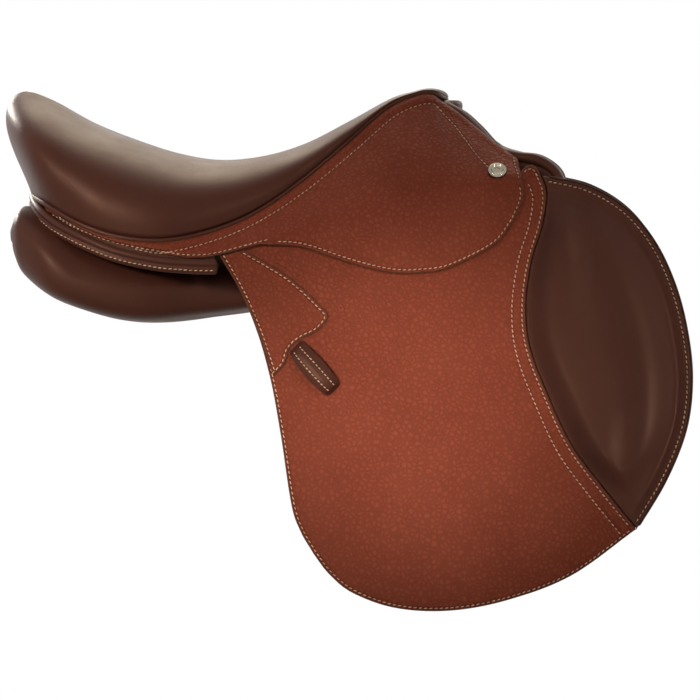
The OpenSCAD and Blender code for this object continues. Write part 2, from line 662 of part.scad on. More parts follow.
// Panels: stations along the saddle with their outer half width, top and bottom
panel_run_shares = [0.037, 0.064, 0.122, 0.19, 0.265, 0.34, 0.456, 0.595, 0.781, 0.944, 1.03, 1.06];
panel_out_shares = [0.66, 0.82, 0.95, 0.985, 0.98, 0.955, 0.87, 0.85, 0.85, 0.8, 0.72, 0.62];
panel_in_shares = [1.4, 1.12, 1, 1, 1, 1, 1, 1, 1, 1, 1, 1.05];
panel_top_shares = [1.19, 1.25, 1.12, 0.92, 0.79, 0.72, 0.72, 0.74, 0.9, 1.06, 1.12, 1.02];
panel_low_shares = [0.9, 0.64, 0.3, 0.1, -0.03, -0.055, 0.02, 0.12, 0.17, 0.25, 0.36, 0.5];
panel_hug_shares = [0, 0, 0, 0, 0, 0.15, 0.8, 1, 1, 1, 1, 1];
panel_lean_share = 0.2;
panel_power = 2.7;
panel_sides = 20;
panel_rings = 26;
function panel_ring(t) =
  let (x = cantle_x + curve(panel_run_shares, t) * seat_run, top = curve(panel_top_shares, t) * panel_h)
  let (low = curve(panel_low_shares, t) * panel_h, inner = curve(panel_in_shares, t) * channel_half)
  let (hug = curve(panel_hug_shares, t), wide = curve(panel_out_shares, t) * panel_half, z = (top + low) / 2)
  let (wall = side_half(x, bend_z(x) - z))
  let (outer = mix(wide, min(wide, wall - panel_depth - layer_gap), hug))
  let (half = (outer - inner) / 2, mid = (inner + outer) / 2)
  [for (q = ring(half, (top - low) / 2, panel_power, panel_sides))
    let (up = q[1] + panel_lean_share * q[0], follow = hug * (half - q[0]) / (2 * half))
    [x, -mid + q[0] - follow * (side_half(x, bend_z(x) - z - up) - wall), z + up]];
module panel() {
  color(calf) tube([for (i = [0:panel_rings]) panel_ring(i / panel_rings)]);
}

// Cantle facing: a rounded strip from one side round the back to the other
facing_run_shares = [0.458, 0.41, 0.34, 0.26, 0.188, 0.128, 0.085, 0.05, 0.038];
facing_half_shares = [1.007, 1.014, 1.01, 0.985, 0.91, 0.79, 0.622, 0.335, 0];
facing_rise_shares = [0.84, 0.845, 0.89, 1.03, 1.26, 1.49, 1.665, 1.735, 1.75];
facing_pts = [for (k = [0:len(facing_run_shares) - 1]) [cantle_x + facing_run_shares[k] * seat_run,
  -facing_half_shares[k] * bend_back_half, facing_rise_shares[k] * bend_back_h]];
facing_cols = 16;
facing_sides = 8;
function whole(half) = concat(half, [for (k = [len(half) - 2:-1:0]) across(half[k])]);
module cantle_facing() {
  half = [for (i = [0:facing_cols])
    curve(facing_pts, i / facing_cols, undef, across(facing_pts[len(facing_pts) - 2]))];
  color(calf) tube(swept(whole(half), ring(facing_w / 2, facing_h / 2, soft_power, facing_sides)));
}

// Pommel facing: a roll along the fronts of both skirts and over the pommel
roll_ahead = 4;
roll_in = 9;
roll_drop = 7;
roll_top_shares = [0.897, 0.12, 0.918];
roll_crown_shares = [0.902, 0, 0.918];
roll_foot_shares = [[1.092, 0.75, 0.622], [1.065, 0.72, 0.679], [1.026, 0.655, 0.69]];
roll_cols = 14;
roll_sides = 8;
function roll_place(s) = [cantle_x + s[0] * seat_run, -s[1] * bend_front_half, s[2] * pommel_h];
module pommel_facing() {
  foot = [for (s = roll_foot_shares) roll_place(s)];
  rise = [for (k = [len(front_run_shares) - 2:-1:0]) [cantle_x + front_run_shares[k] * seat_run + roll_ahead,
    -front_half_shares[k] * bend_front_half + roll_in, front_rise_shares[k] * pommel_h - roll_drop]];
  points = concat(foot, rise, [roll_place(roll_top_shares), roll_place(roll_crown_shares)]);
  half = [for (i = [0:roll_cols]) curve(points, i / roll_cols, undef, across(points[len(points) - 2]))];
  color(calf) tube(swept(whole(half), ring(roll_w / 2, roll_h / 2, soft_power, roll_sides)));
}

// Tree head: an arch from point to point
head_run_shares = [0.935, 0.922, 0.903, 0.89, 0.886];
head_half_shares = [0.71, 0.585, 0.417, 0.21, 0];
head_rise_shares = [0.497, 0.618, 0.73, 0.8, 0.815];
head_cols = 8;
head_sides = 8;
function head_path(drop) =
  let (points = [for (k = [0:len(head_run_shares) - 1]) [cantle_x + head_run_shares[k] * seat_run,
    -head_half_shares[k] * bend_front_half, head_rise_shares[k] * pommel_h]])
  let (half = [for (i = [0:head_cols]) curve(points, i / head_cols, undef, across(points[len(points) - 2]))])
  let (path = whole(half))
  [for (i = [0:len(path) - 1]) let (t = along(path, i, false), side = unit(cross(t, [0, 0, 1])))
    path[i] - cross(side, t) * drop];
module tree_head() {
  color(wood) tube(swept(head_path(0), ring(head_w / 2, head_t / 2, square_power, head_sides)));
}

// Steel plate and leather lining under the head
module gullet_plate() {
  color(steel) tube(swept(head_path(head_t / 2 + layer_gap + plate_t / 2),
    ring(head_w / 2, plate_t / 2, square_power, head_sides)));
}

module gullet_lining() {
  color(calf) tube(swept(head_path(head_t / 2 + 2 * layer_gap + plate_t + gullet_t / 2),
    ring(head_w / 2, gullet_t / 2, square_power, head_sides)));
}

// Tree frame: rails from under the head back round the cantle, at shares of the height under the webs
rail_run_shares = [0.95, 0.88, 0.79, 0.688, 0.595, 0.502, 0.42, 0.34, 0.25, 0.19, 0.155, 0.145];
rail_half_shares = [0.535, 0.57, 0.6, 0.585, 0.555, 0.54, 0.575, 0.61, 0.58, 0.43, 0.22, 0];
rail_rise_shares = [0.452, 0.459, 0.57, 0.719, 0.832, 0.878, 0.841, 0.886, 0.938, 0.97, 0.98];
rail_head_share = 0.603;
rail_pts = [for (k = [0:len(rail_run_shares) - 1]) let (half = rail_half_shares[k] * seat_half)
  [cantle_x + rail_run_shares[k] * seat_run, -half,
   k == 0 ? head_rise_shares[0] * pommel_h - rail_head_share * rail_h
     : rail_rise_shares[k - 1] * seat_under(rail_run_shares[k], half)]];
rail_cols = 22;
rail_sides = 8;
function rail_path(drop) = whole([for (i = [0:rail_cols])
  curve(rail_pts, i / rail_cols, undef, across(rail_pts[len(rail_pts) - 2])) - [0, 0, drop]]);
module tree_frame() {
  color(wood)
    difference() {
      tube(swept(rail_path(0), ring(rail_w / 2, rail_h / 2, square_power, rail_sides)));
      for (left = [false, true])
        right_or_left(left) rivet_holes(2 * back_t);
    }
}

// Spring steel under each rail
spring_w_share = 0.7;
spring_first = 4;
spring_last = 14;
module tree_springs() {
  path = rail_path(rail_h / 2 + layer_gap + plate_t / 2);
  color(steel)
    for (left = [false, true])
      right_or_left(left)
        tube(swept([for (i = [spring_first:spring_last]) path[i]],
          ring(spring_w_share * rail_w / 2, plate_t / 2, square_power, rail_sides)));
}

// Stirrup bar: frame on the middle of the bar, x along it, y into the saddle
bar_tuck = 3.4;
bar_depth = skirt_t + bar_tuck + layer_gap + bar_t / 2;
bar_yaw = atan2(bend_back_half - bend_front_half, bend_front_x - bend_back_x);
bar_pitch = atan2(bend_front_h - bend_back_h,
  norm([bend_front_x - bend_back_x, bend_back_half - bend_front_half]));
module on_bar() {
  translate(on_side(bar_x, bar_drop, bar_depth))
    rotate([0, -bar_pitch, bar_yaw])
      children();
}

bar_leg = 12;
back_h = 22;
fork_len = 12;
pin_in = 6;
back_y = bar_t / 2 + bar_slot;
module stirrup_bar() {
  color(steel) on_bar()
    difference() {
      union() {
        rotate([90, 0, 0])
          linear_extrude(bar_t, center = true) {
            translate([-bar_len / 2 + bar_h / 2, -bar_h / 2]) square([bar_len - bar_h, bar_h]);
            translate([-bar_len / 2 + bar_h / 2, 0]) circle(d = bar_h, $fn = round_n);
            translate([bar_len / 2 - bar_h / 2, 0]) circle(d = bar_h, $fn = round_n);
          }
        translate([bar_len / 2 - bar_h / 2 - bar_leg / 2, 0, -bar_h / 2])
          cube([bar_leg, back_y + back_t / 2, bar_h]);
        translate([-bar_len / 2, back_y, -back_h / 2])
          cube([bar_len, back_t, back_h]);
      }
      translate([-bar_len / 2 - over, -catch_t / 2 - layer_gap, -bar_h])
        cube([fork_len + over, catch_t + 2 * layer_gap, 2 * bar_h]);
      translate([-bar_len / 2 + pin_in, 0, 0])
        rotate([90, 0, 0])
          cylinder(d = pin_d + 2 * pin_play, h = bar_t + 2 * over, center = true, $fn = round_n);
      rivets_at() translate([0, back_y - over, 0])
        rotate([-90, 0, 0])
          cylinder(d = rivet_d + 2 * pin_play, h = back_t + 2 * over, $fn = round_n);
    }
}

// Rivets through the back plate into the rail
rivet_at_shares = [-0.4, -0.16];
rivet_grip = 5;
rivet_head_share = 1.7;
rivet_head_h = 2;
module rivets_at() {
  for (s = rivet_at_shares)
    translate([s * bar_len, 0, 0]) children();
}

module rivet_holes(extra) {
  on_bar() rivets_at() translate([0, back_y, 0])
    rotate([-90, 0, 0])
      cylinder(d = rivet_d + 2 * pin_play, h = back_t + rivet_grip + extra, $fn = round_n);
}

module bar_rivets() {
  color(steel)
    for (left = [false, true])
      right_or_left(left) on_bar() rivets_at() translate([0, back_y, 0]) {
        rotate([-90, 0, 0]) cylinder(d = rivet_d, h = back_t + rivet_grip, $fn = round_n);
        rotate([90, 0, 0])
          cylinder(d1 = rivet_d * rivet_head_share, d2 = rivet_d, h = rivet_head_h, $fn = round_n);
      }
}

// Catch in the open end of the bar
catch_h_share = 0.6;
module bar_catch() {
  h = catch_h_share * bar_h;
  color(steel) on_bar() translate([-bar_len / 2 + pin_in, 0, 0])
    rotate([90, 0, 0])
      linear_extrude(catch_t, center = true)
        difference() {
          union() {
            circle(d = h, $fn = round_n);
            translate([-catch_len + h / 2, -h / 2]) square([catch_len - h / 2, h]);
            translate([-catch_len + h / 2, 0]) circle(d = h, $fn = round_n);
          }
          circle(d = pin_d + 2 * pin_play, $fn = round_n);
        }
}

module catch_pins() {
  color(steel)
    for (left = [false, true])
      right_or_left(left) on_bar() translate([-bar_len / 2 + pin_in, 0, 0])
        rotate([90, 0, 0])
          cylinder(d = pin_d, h = bar_t, center = true, $fn = round_n);
}

tree_frame();
tree_head();
gullet_plate();
tree_springs();
seat_webs();
seat_foam();
seat_cover();
seat_piping();
pommel_facing();
gullet_lining();
cantle_facing();
skirt();  // skirt_right
right_or_left(true) skirt();  // skirt_left
skirt_belly();  // skirt_belly_right
right_or_left(true) skirt_belly();  // skirt_belly_left
for (left = [false, true]) right_or_left(left) skirt_nail();  // skirt_nails
flap();  // flap_right
right_or_left(true) flap();  // flap_left
flap_lining();  // flap_lining_right
right_or_left(true) flap_lining();  // flap_lining_left
knee_pad();  // knee_pad_right
right_or_left(true) knee_pad();  // knee_pad_left
flap_patch();  // flap_patch_right
right_or_left(true) flap_patch();  // flap_patch_left
keeper();  // keeper_right
right_or_left(true) keeper();  // keeper_left
panel();  // panel_right
right_or_left(true) panel();  // panel_left
sweat_flap();  // sweat_flap_right
right_or_left(true) sweat_flap();  // sweat_flap_left
knee_block();  // knee_block_right
right_or_left(true) knee_block();  // knee_block_left
girth_web();  // girth_web_right
right_or_left(true) girth_web();  // girth_web_left
buckle_guard();  // buckle_guard_right
right_or_left(true) buckle_guard();  // buckle_guard_left
billet(1);  // billet_right_front
billet(0);  // billet_right_middle
billet(-1);  // billet_right_rear
right_or_left(true) billet(1);  // billet_left_front
right_or_left(true) billet(0);  // billet_left_middle
right_or_left(true) billet(-1);  // billet_left_rear
stirrup_bar();  // stirrup_bar_right
right_or_left(true) stirrup_bar();  // stirrup_bar_left
bar_rivets();
bar_catch();  // bar_catch_right
right_or_left(true) bar_catch();  // bar_catch_left
catch_pins();
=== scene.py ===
"""Dressed model of a close-contact jumping saddle in two brown leathers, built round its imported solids."""
import logging
import math
from dataclasses import dataclass, field
from enum import Enum
from typing import Any, Callable, Optional, Sequence

import bmesh
import bpy
import numpy as np
from mathutils import Matrix, Vector
from mathutils.kdtree import KDTree


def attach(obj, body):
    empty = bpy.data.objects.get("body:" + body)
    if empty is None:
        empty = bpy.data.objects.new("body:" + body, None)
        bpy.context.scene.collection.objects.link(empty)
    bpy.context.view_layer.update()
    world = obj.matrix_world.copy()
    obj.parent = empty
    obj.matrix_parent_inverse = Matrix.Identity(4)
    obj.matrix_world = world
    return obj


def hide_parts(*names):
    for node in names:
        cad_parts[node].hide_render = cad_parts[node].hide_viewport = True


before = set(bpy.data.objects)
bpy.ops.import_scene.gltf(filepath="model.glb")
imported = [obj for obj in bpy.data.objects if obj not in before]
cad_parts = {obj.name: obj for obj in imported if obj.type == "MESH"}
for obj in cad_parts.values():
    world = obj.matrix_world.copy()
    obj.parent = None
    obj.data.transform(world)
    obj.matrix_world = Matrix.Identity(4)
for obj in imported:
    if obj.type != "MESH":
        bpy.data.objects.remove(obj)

LOG = logging.getLogger("saddle")
MM = 0.001
UP = np.array([0.0, 0.0, 1.0])
INWARD = np.array([0.0, 1.0, 0.0])
EDGE_MARKS = (0.0, 0.15, 0.5, 1.0, 1.6, 2.3, 3.0, 3.7, 4.4, 5.4, 7.4)
# Leather masks: rim is a band along free edges; seam marks the stitch grooves, pressed in as bump and
# darkened in colour as painted shade.
MASKS = ("rim", "seam")
MERGE_M, LOOSE_M, SLIVER_M = 2e-6, 1e-5, 1e-7
RIM_POINTS = 700
ROW_STEP = 2.0
FILL_STEPS = 18
STITCH_PITCH = 4.3
STITCH_TURN = math.radians(9.0)
STITCH_LONG = 0.37
STITCH_HALF = (0.5, 0.42)
STITCH_PROUD = 0.08
SHEEN = (1.0, 0.6, 0.44, 1.0)
WARM = (1.0, 0.95, 0.87)
WHITE = (1.0, 1.0, 1.0, 1.0)
Array = np.ndarray
Colour = Point = tuple[float, float, float]
Pair = tuple[float, float]
Pairs = tuple[Pair, ...]
Numbers = tuple[float, ...]
Tree = bpy.types.NodeTree
Socket = bpy.types.NodeSocket


class Side(Enum):
    """The two sides of the saddle."""

    RIGHT = "right"
    LEFT = "left"


class Carrier(Enum):
    """The bodies that carry the leather; a paired one takes its side at the end of its name."""

    SADDLE = "saddle"
    FLAP = "flap_"
    BELLY = "skirt_belly_"

    def body(self, side: Side) -> str:
        """Name of the body on one side."""
        return self.value + side.value if self.value.endswith("_") else self.value


class Rim(Enum):
    """The four edges of a sheet."""

    TOP = "top"
    BASE = "base"
    BACK = "back"
    FRONT = "front"


# Smooth lines and surfaces


def mix(a: Any, b: Any, t: Any) -> Any:
    """Value between a and b."""
    return a + (b - a) * t


def ease(t: Any) -> Any:
    """Smooth step from 0 to 1."""
    t = np.clip(t, 0.0, 1.0)
    return t * t * (3.0 - 2.0 * t)


def column(a: Any) -> Array:
    """Values as a column, to scale rows of points."""
    return np.asarray(a, float)[..., None]


def unit(v: Array) -> Array:
    """Rows scaled to length 1."""
    return v / np.maximum(np.linalg.norm(v, axis=-1, keepdims=True), 1e-12)


def across(p: Array) -> Array:
    """Points on the other side of the saddle."""
    return p * np.array([1.0, -1.0, 1.0])


def curve(points: Any, t: Any, first: Any = None, last: Any = None) -> Array:
    """Smooth curve through points.

    Args:
        points: rows of points, or plain values.
        t: places along the curve, from 0 to 1.
        first: point before the first one, where the curve goes on.
        last: point after the last one, where the curve goes on.

    Returns:
        One point, or value, for each place.
    """
    p = np.asarray(points, float)
    flat = p.ndim == 1
    if flat:
        p = p[:, None]
    n = len(p) - 1
    a = 2 * p[0] - p[1] if first is None else np.atleast_1d(first)
    d = 2 * p[-1] - p[-2] if last is None else np.atleast_1d(last)
    e = np.vstack([a, p, d])
    s = np.asarray(t, float) * n
    k = np.clip(np.floor(s), 0, n - 1).astype(int)
    f = column(s - k)
    a, b, c, d = e[k], e[k + 1], e[k + 2], e[k + 3]
    out = (2 * b + (c - a) * f + (2 * a - 5 * b + 4 * c - d) * f**2 + (3 * b - a - 3 * c + d) * f**3) / 2
    return out[..., 0] if flat else out


def patch(top: Array, base: Array, back: Array, front: Array) -> Callable[[Array, Array], Array]:
    """Patch stretched between four edge curves.

    Args:
        top: points of the top edge, from back to front.
        base: points of the bottom edge, from back to front.
        back: points of the back edge, from top to bottom.
        front: points of the front edge, from top to bottom.

    Returns:
        Function that gives the point at u along and v down the patch.
    """

    def at(u: Array, v: Array) -> Array:
        """Point of the patch at u, v."""
        uu, vv = column(u), column(v)
        corner = mix(mix(top[0], top[-1], uu), mix(base[0], base[-1], uu), vv)
        return mix(curve(top, u), curve(base, u), vv) + mix(curve(back, v), curve(front, v), uu) - corner

    return at


def stops(length: float, step: float, low: Sequence[float] = EDGE_MARKS,
          high: Sequence[float] = EDGE_MARKS) -> Array:
    """Shares along a sheet: close lines near both edges and even ones between.

    Args:
        length: length of the sheet in mm.
        step: distance between the even lines in mm.
        low: distances of the close lines from the first edge.
        high: distances of the close lines from the last edge.

    Returns:
        Rising shares from 0 to 1.
    """
    start, end = max(low), length - max(high)
    even = np.linspace(start, end, max(2, round((end - start) / step) + 1))
    return np.unique(np.concatenate([low, even, length - np.asarray(high)]).round(6)) / length


def spaced(points: Array, pitch: float) -> Array:
    """Points at an even pitch along a line.

    Args:
        points: rows of points.
        pitch: distance between the new points.

    Returns:
        The new rows.
    """
    d = np.concatenate([[0.0], np.cumsum(np.linalg.norm(np.diff(points, axis=0), axis=1))])
    s = np.linspace(0.0, d[-1], max(2, round(d[-1] / pitch) + 1))
    return np.stack([np.interp(s, d, points[:, k]) for k in range(points.shape[1])], axis=1)


def inset_line(points: Array, middle: Array, gap: float) -> Array:
    """Flat line moved sideways towards a middle point.

    Args:
        points: rows of two values.
        middle: point on the side to which the line moves.
        gap: distance of the move.

    Returns:
        The moved line.
    """
    t = unit(np.gradient(points, axis=0))
    n = np.stack([-t[:, 1], t[:, 0]], axis=1)
    if np.sum(n * (middle - points)) < 0:
        n = -n
    return points + n * gap


def nearest(points: Array, marks: Array) -> Array:
    """Distance from each point to the nearest of some marks.

    Args:
        points: rows of points.
        marks: rows of points to measure to.

    Returns:
        One distance a point.
    """
    tree = KDTree(len(marks))
    for i, m in enumerate(marks):
        tree.insert(m, i)
    tree.balance()
    return np.array([tree.find(p)[2] for p in points])


@dataclass(frozen=True)
class Form:
    """The saddle's driving sizes in mm, as its solids have them."""

    seat_run: float = 430.0
    seat_front_x: float = 134.0
    seat_half: float = 133.0
    cantle_h: float = 190.0
    pommel_h: float = 192.0
    dip_h: float = 130.0
    edge_back_h: float = 102.0
    edge_low_h: float = 65.0
    cantle_bulge: float = 22.0
    bend_back: Point = (-98.0, 140.0, 52.0)
    bend_front: Point = (167.0, 96.0, 118.0)
    flap_drop: float = 335.0
    flap_len: float = 392.0
    flap_half: float = 194.0
    hang_share: float = 0.2
    gap: float = 0.4
    skirt_t: float = 4.0
    flap_t: float = 3.0
    lining_t: float = 1.8
    sweat_t: float = 3.0
    strap_room: float = 20.5

    @property
    def cantle_x(self) -> float:
        """Back end of the seat's length."""
        return self.seat_front_x - self.seat_run

    @property
    def flap_depth(self) -> float:
        """Depth of the flap's face under the skirt's face."""
        return self.skirt_t + self.gap

    @property
    def lining_depth(self) -> float:
        """Depth of the lining's face under the skirt's face."""
        return self.flap_depth + self.flap_t + self.gap

    @property
    def sweat_depth(self) -> float:
        """Depth of the sweat flap's face under the skirt's face."""
        return self.lining_depth + self.lining_t + self.strap_room

    def run(self, share: Any) -> Any:
        """Place along the saddle at a share of the seat's length."""
        return self.cantle_x + np.asarray(share, float) * self.seat_run

    def bend(self, x: Any, k: int) -> Any:
        """Half width (k = 1) or height (k = 2) of the bend line at x."""
        a, b = self.bend_back, self.bend_front
        return mix(a[k], b[k], (np.asarray(x, float) - a[0]) / (b[0] - a[0]))

    def side_half(self, x: Any, drop: Any) -> Any:
        """Half width of the hanging surface at x and a drop below the bend line."""
        t = np.asarray(drop, float) / self.flap_drop
        return mix(self.bend(x, 1), self.flap_half, t * (1 + self.hang_share - self.hang_share * t))

    def on_side(self, q: Array, depth: Any) -> Array:
        """Points of the hanging surface.

        Args:
            q: rows of place along the saddle and drop below the bend line.
            depth: how far inside the surface the points lie.

        Returns:
            Rows of points.
        """
        x, drop = q[..., 0], q[..., 1]
        return np.stack([x, -(self.side_half(x, drop) - depth), self.bend(x, 2) - drop], axis=-1)

    def side_out(self, q: Array) -> Array:
        """Outward directions of the hanging surface at rows of place and drop."""
        along = self.on_side(q + [0.5, 0.0], 0.0) - self.on_side(q - [0.5, 0.0], 0.0)
        down = self.on_side(q + [0.0, 0.5], 0.0) - self.on_side(q - [0.0, 0.5], 0.0)
        return unit(np.cross(down, along))

    def placed(self, shares: Any) -> Array:
        """Rows of place and drop from shares of the flap's length and depth."""
        return np.asarray(shares, float) * [self.flap_len, self.flap_drop] + [self.bend_back[0], 0.0]

    def line(self, shares: Any, t: Any) -> Array:
        """Rows of place and drop at t along the curve through some shares."""
        return curve(self.placed(shares), t)

    def spots(self, run: Any, half: Any, rise: Any, size: Sequence[float]) -> Array:
        """Points from shares of the seat's length, of a half width and of a height."""
        return np.stack([self.run(run), -np.array(half) * size[0], np.array(rise) * size[1]], axis=1)

    def at_back(self, *shares: Any) -> Array:
        """Points by the cantle, from shares of the bend line's width and height at the back."""
        return self.spots(*shares, self.bend_back[1:])

    def at_front(self, *shares: Any) -> Array:
        """Points by the pommel, from shares of the bend line's width in front and the pommel's height."""
        return self.spots(*shares, (self.bend_front[1], self.pommel_h))


FORM = Form()


# Finishes


def join(tree: Tree, node: bpy.types.Node, **inputs: Any) -> None:
    """Sets inputs of a node, or links them.

    Args:
        tree: node tree that holds the node.
        node: the node.
        **inputs: values or sockets by input name, with _ for a space, or by number as n0, n1.
    """
    for key, value in inputs.items():
        number = key[0] == "n" and key[1:].isdigit()
        socket = node.inputs[int(key[1:])] if number else node.inputs[key.replace("_", " ")]
        if isinstance(value, Socket):
            tree.links.new(value, socket)
        else:
            socket.default_value = value


def put(tree: Tree, kind: str, props: Optional[dict[str, Any]] = None, **inputs: Any) -> bpy.types.Node:
    """Adds a node, sets it and joins its inputs.

    Args:
        tree: node tree that takes the node.
        kind: type of node.
        props: properties of the node.
        **inputs: values or sockets, as join takes them.

    Returns:
        The node.
    """
    node = tree.nodes.new(kind)
    for key, value in (props or {}).items():
        setattr(node, key, value)
    join(tree, node, **inputs)
    return node


def maths(tree: Tree, operation: str, a: Any, b: Any = 0.0, clamp: bool = False) -> Socket:
    """Output of a maths node on one or two values."""
    return put(tree, "ShaderNodeMath", {"operation": operation, "use_clamp": clamp}, n0=a, n1=b).outputs[0]


def vectors(tree: Tree, operation: str, **inputs: Any) -> Socket:
    """Output of a vector maths node."""
    return put(tree, "ShaderNodeVectorMath", {"operation": operation}, **inputs).outputs[0]


def tint(tree: Tree, share: Any, a: Any, b: Any) -> Socket:
    """Output of a colour mix between a and b."""
    full = [(*c, 1.0) if isinstance(c, tuple) and len(c) == 3 else c for c in (a, b)]
    return put(tree, "ShaderNodeMix", {"data_type": "RGBA"}, n0=share, n6=full[0], n7=full[1]).outputs[2]


def spread(tree: Tree, value: Any, low: float, high: float, to_low: float = 0.0,
           to_high: float = 1.0) -> Socket:
    """Output of a smooth map from one range to another."""
    return put(tree, "ShaderNodeMapRange", {"interpolation_type": "SMOOTHSTEP"}, Value=value, From_Min=low,
               From_Max=high, To_Min=to_low, To_Max=to_high).outputs[0]


def noise(tree: Tree, at: Socket, scale: Any, detail: float, **more: Any) -> Socket:
    """Output of a noise texture at a place."""
    return put(tree, "ShaderNodeTexNoise", Vector=at, Scale=scale, Detail=detail, **more).outputs[0]


def emboss(tree: Tree, shader: bpy.types.Node, height: Socket, strength: float, distance: float) -> None:
    """Gives a shader its relief from a height."""
    relief = put(tree, "ShaderNodeBump", Height=height, Strength=strength, Distance=distance)
    join(tree, shader, Normal=relief.outputs[0])


def seen_rays(tree: Tree) -> Socket:
    """1 for rays from the camera, through glass and in reflections, 0 for the others."""
    path = put(tree, "ShaderNodeLightPath")
    seen = maths(tree, "ADD", path.outputs["Is Camera Ray"], path.outputs["Is Transmission Ray"], True)
    return maths(tree, "ADD", seen, path.outputs["Is Glossy Ray"], True)


def new_material(name: str) -> tuple[bpy.types.Material, Tree, bpy.types.Node, Socket]:
    """Empty node material.

    Args:
        name: name of the material.

    Returns:
        The material, its node tree, its shader node and the place on the object.
    """
    material = bpy.data.materials.new(name)
    material.use_nodes = True
    tree = material.node_tree
    return material, tree, tree.nodes["Principled BSDF"], put(tree, "ShaderNodeTexCoord").outputs["Object"]


@dataclass(frozen=True)
class Grain:
    """Pebbled leather grain: height, creases between the pebbles and slow mottling."""

    warp_scale: float = 0.35
    warp_reach: float = 0.0022
    pebble_edge: float = 0.36
    pebble_share: float = 0.5
    fine_scale: float = 2.6
    fine_share: float = 0.35
    fold_scale: float = 0.22
    fold_half: float = 0.09
    mottle_scale: float = 16.0
    outs: tuple[str, ...] = ("Height", "Crease", "Mottle")

    def make(self) -> Tree:
        """Shader group of the grain, which takes the number of cells a metre and the depth of folds."""
        tree = bpy.data.node_groups.new("leather_grain", "ShaderNodeTree")
        kinds = {"Vector": "NodeSocketVector", "Cells": "NodeSocketFloat", "Wrinkle": "NodeSocketFloat"}
        for key, kind in kinds.items():
            tree.interface.new_socket(key, in_out="INPUT", socket_type=kind)
        for key in self.outs:
            tree.interface.new_socket(key, in_out="OUTPUT", socket_type="NodeSocketFloat")
        where, count, wrinkle = tree.nodes.new("NodeGroupInput").outputs[:3]
        warp = maths(tree, "MULTIPLY", count, self.warp_scale)
        shift = put(tree, "ShaderNodeTexNoise", Vector=where, Scale=warp, Detail=2.0).outputs["Color"]
        centred = vectors(tree, "SUBTRACT", n0=shift, n1=(0.5, 0.5, 0.5))
        moved = vectors(tree, "SCALE", n0=centred, Scale=self.warp_reach)
        warped = vectors(tree, "ADD", n0=where, n1=moved)
        cells = put(tree, "ShaderNodeTexVoronoi", {"feature": "DISTANCE_TO_EDGE"}, Vector=warped, Scale=count)
        pebble = spread(tree, cells.outputs["Distance"], 0.0, self.pebble_edge)
        fine = noise(tree, warped, maths(tree, "MULTIPLY", count, self.fine_scale), 3.0, Roughness=0.6)
        slow = noise(tree, where, maths(tree, "MULTIPLY", count, self.fold_scale), 4.0, Distortion=1.4)
        ridge = maths(tree, "ABSOLUTE", maths(tree, "SUBTRACT", slow, 0.5))
        fold = maths(tree, "MULTIPLY", spread(tree, ridge, 0.0, self.fold_half), wrinkle)
        height = maths(tree, "ADD", maths(tree, "MULTIPLY", pebble, self.pebble_share),
                       maths(tree, "MULTIPLY", fine, self.fine_share))
        join(tree, tree.nodes.new("NodeGroupOutput"), Height=maths(tree, "ADD", height, fold),
             Crease=maths(tree, "SUBTRACT", 1.0, pebble),
             Mottle=noise(tree, where, self.mottle_scale, 3.0, Roughness=0.55))
        return tree


@dataclass(frozen=True)
class Leather:
    """A leather finish: colours, size and depth of its grain, and gloss."""

    name: str
    colour: Colour
    # Deep tone, into which the pebble creases (partly painted shade) and the stitch grooves (painted shade)
    # are darkened.
    deep: Colour
    rim: Colour
    cells: float
    wrinkle: float
    bump: float
    # Share by which the pebble creases darken: partly the grain's own colour, partly painted shade.
    crease: float
    rough: float
    specular: float
    warmth: float = 0.22
    # Share of painted shade in the stitch grooves.
    seam_painted_shade: float = 0.45
    seam_press: float = 1.6
    rim_wear: float = 0.85
    rough_vary: float = 0.07
    crease_rough: float = 0.12
    depth: float = 0.0006

    def make(self, grain: Tree) -> bpy.types.Material:
        """Material of the leather.

        Args:
            grain: shader group of the leather grain.

        Returns:
            The material.
        """
        material, tree, shader, where = new_material(self.name)
        skin = put(tree, "ShaderNodeGroup", {"node_tree": grain}, Vector=where, Cells=self.cells,
                   Wrinkle=self.wrinkle)
        height, crease, mottle = (skin.outputs[k] for k in Grain.outs)
        rim, seam = (put(tree, "ShaderNodeAttribute", {"attribute_name": k}).outputs["Fac"] for k in MASKS)
        # Darker creases between the pebbles: partly the grain's own colour, partly painted shade.
        base = tint(tree, maths(tree, "MULTIPLY", crease, self.crease), self.colour, self.deep)
        shade = spread(tree, mottle, 0.25, 0.75, 1.0 - self.warmth, 1.0 + self.warmth)
        lit = vectors(tree, "SCALE", n0=base, Scale=shade)
        # Painted shade: the colour is darkened towards the deep tone along the stitch grooves.
        sewn = tint(tree, maths(tree, "MULTIPLY", seam, self.seam_painted_shade), lit, self.deep)
        toned = tint(tree, maths(tree, "MULTIPLY", rim, self.rim_wear), sewn, self.rim)
        gloss = spread(tree, mottle, 0.2, 0.8, self.rough + self.rough_vary, self.rough - self.rough_vary)
        dull = maths(tree, "ADD", gloss, maths(tree, "MULTIPLY", crease, self.crease_rough))
        join(tree, shader, Base_Color=toned, Roughness=dull, Specular_IOR_Level=self.specular,
             Specular_Tint=SHEEN)
        pressed = maths(tree, "SUBTRACT", height, maths(tree, "MULTIPLY", seam, self.seam_press))
        emboss(tree, shader, pressed, self.bump, self.depth)
        return material


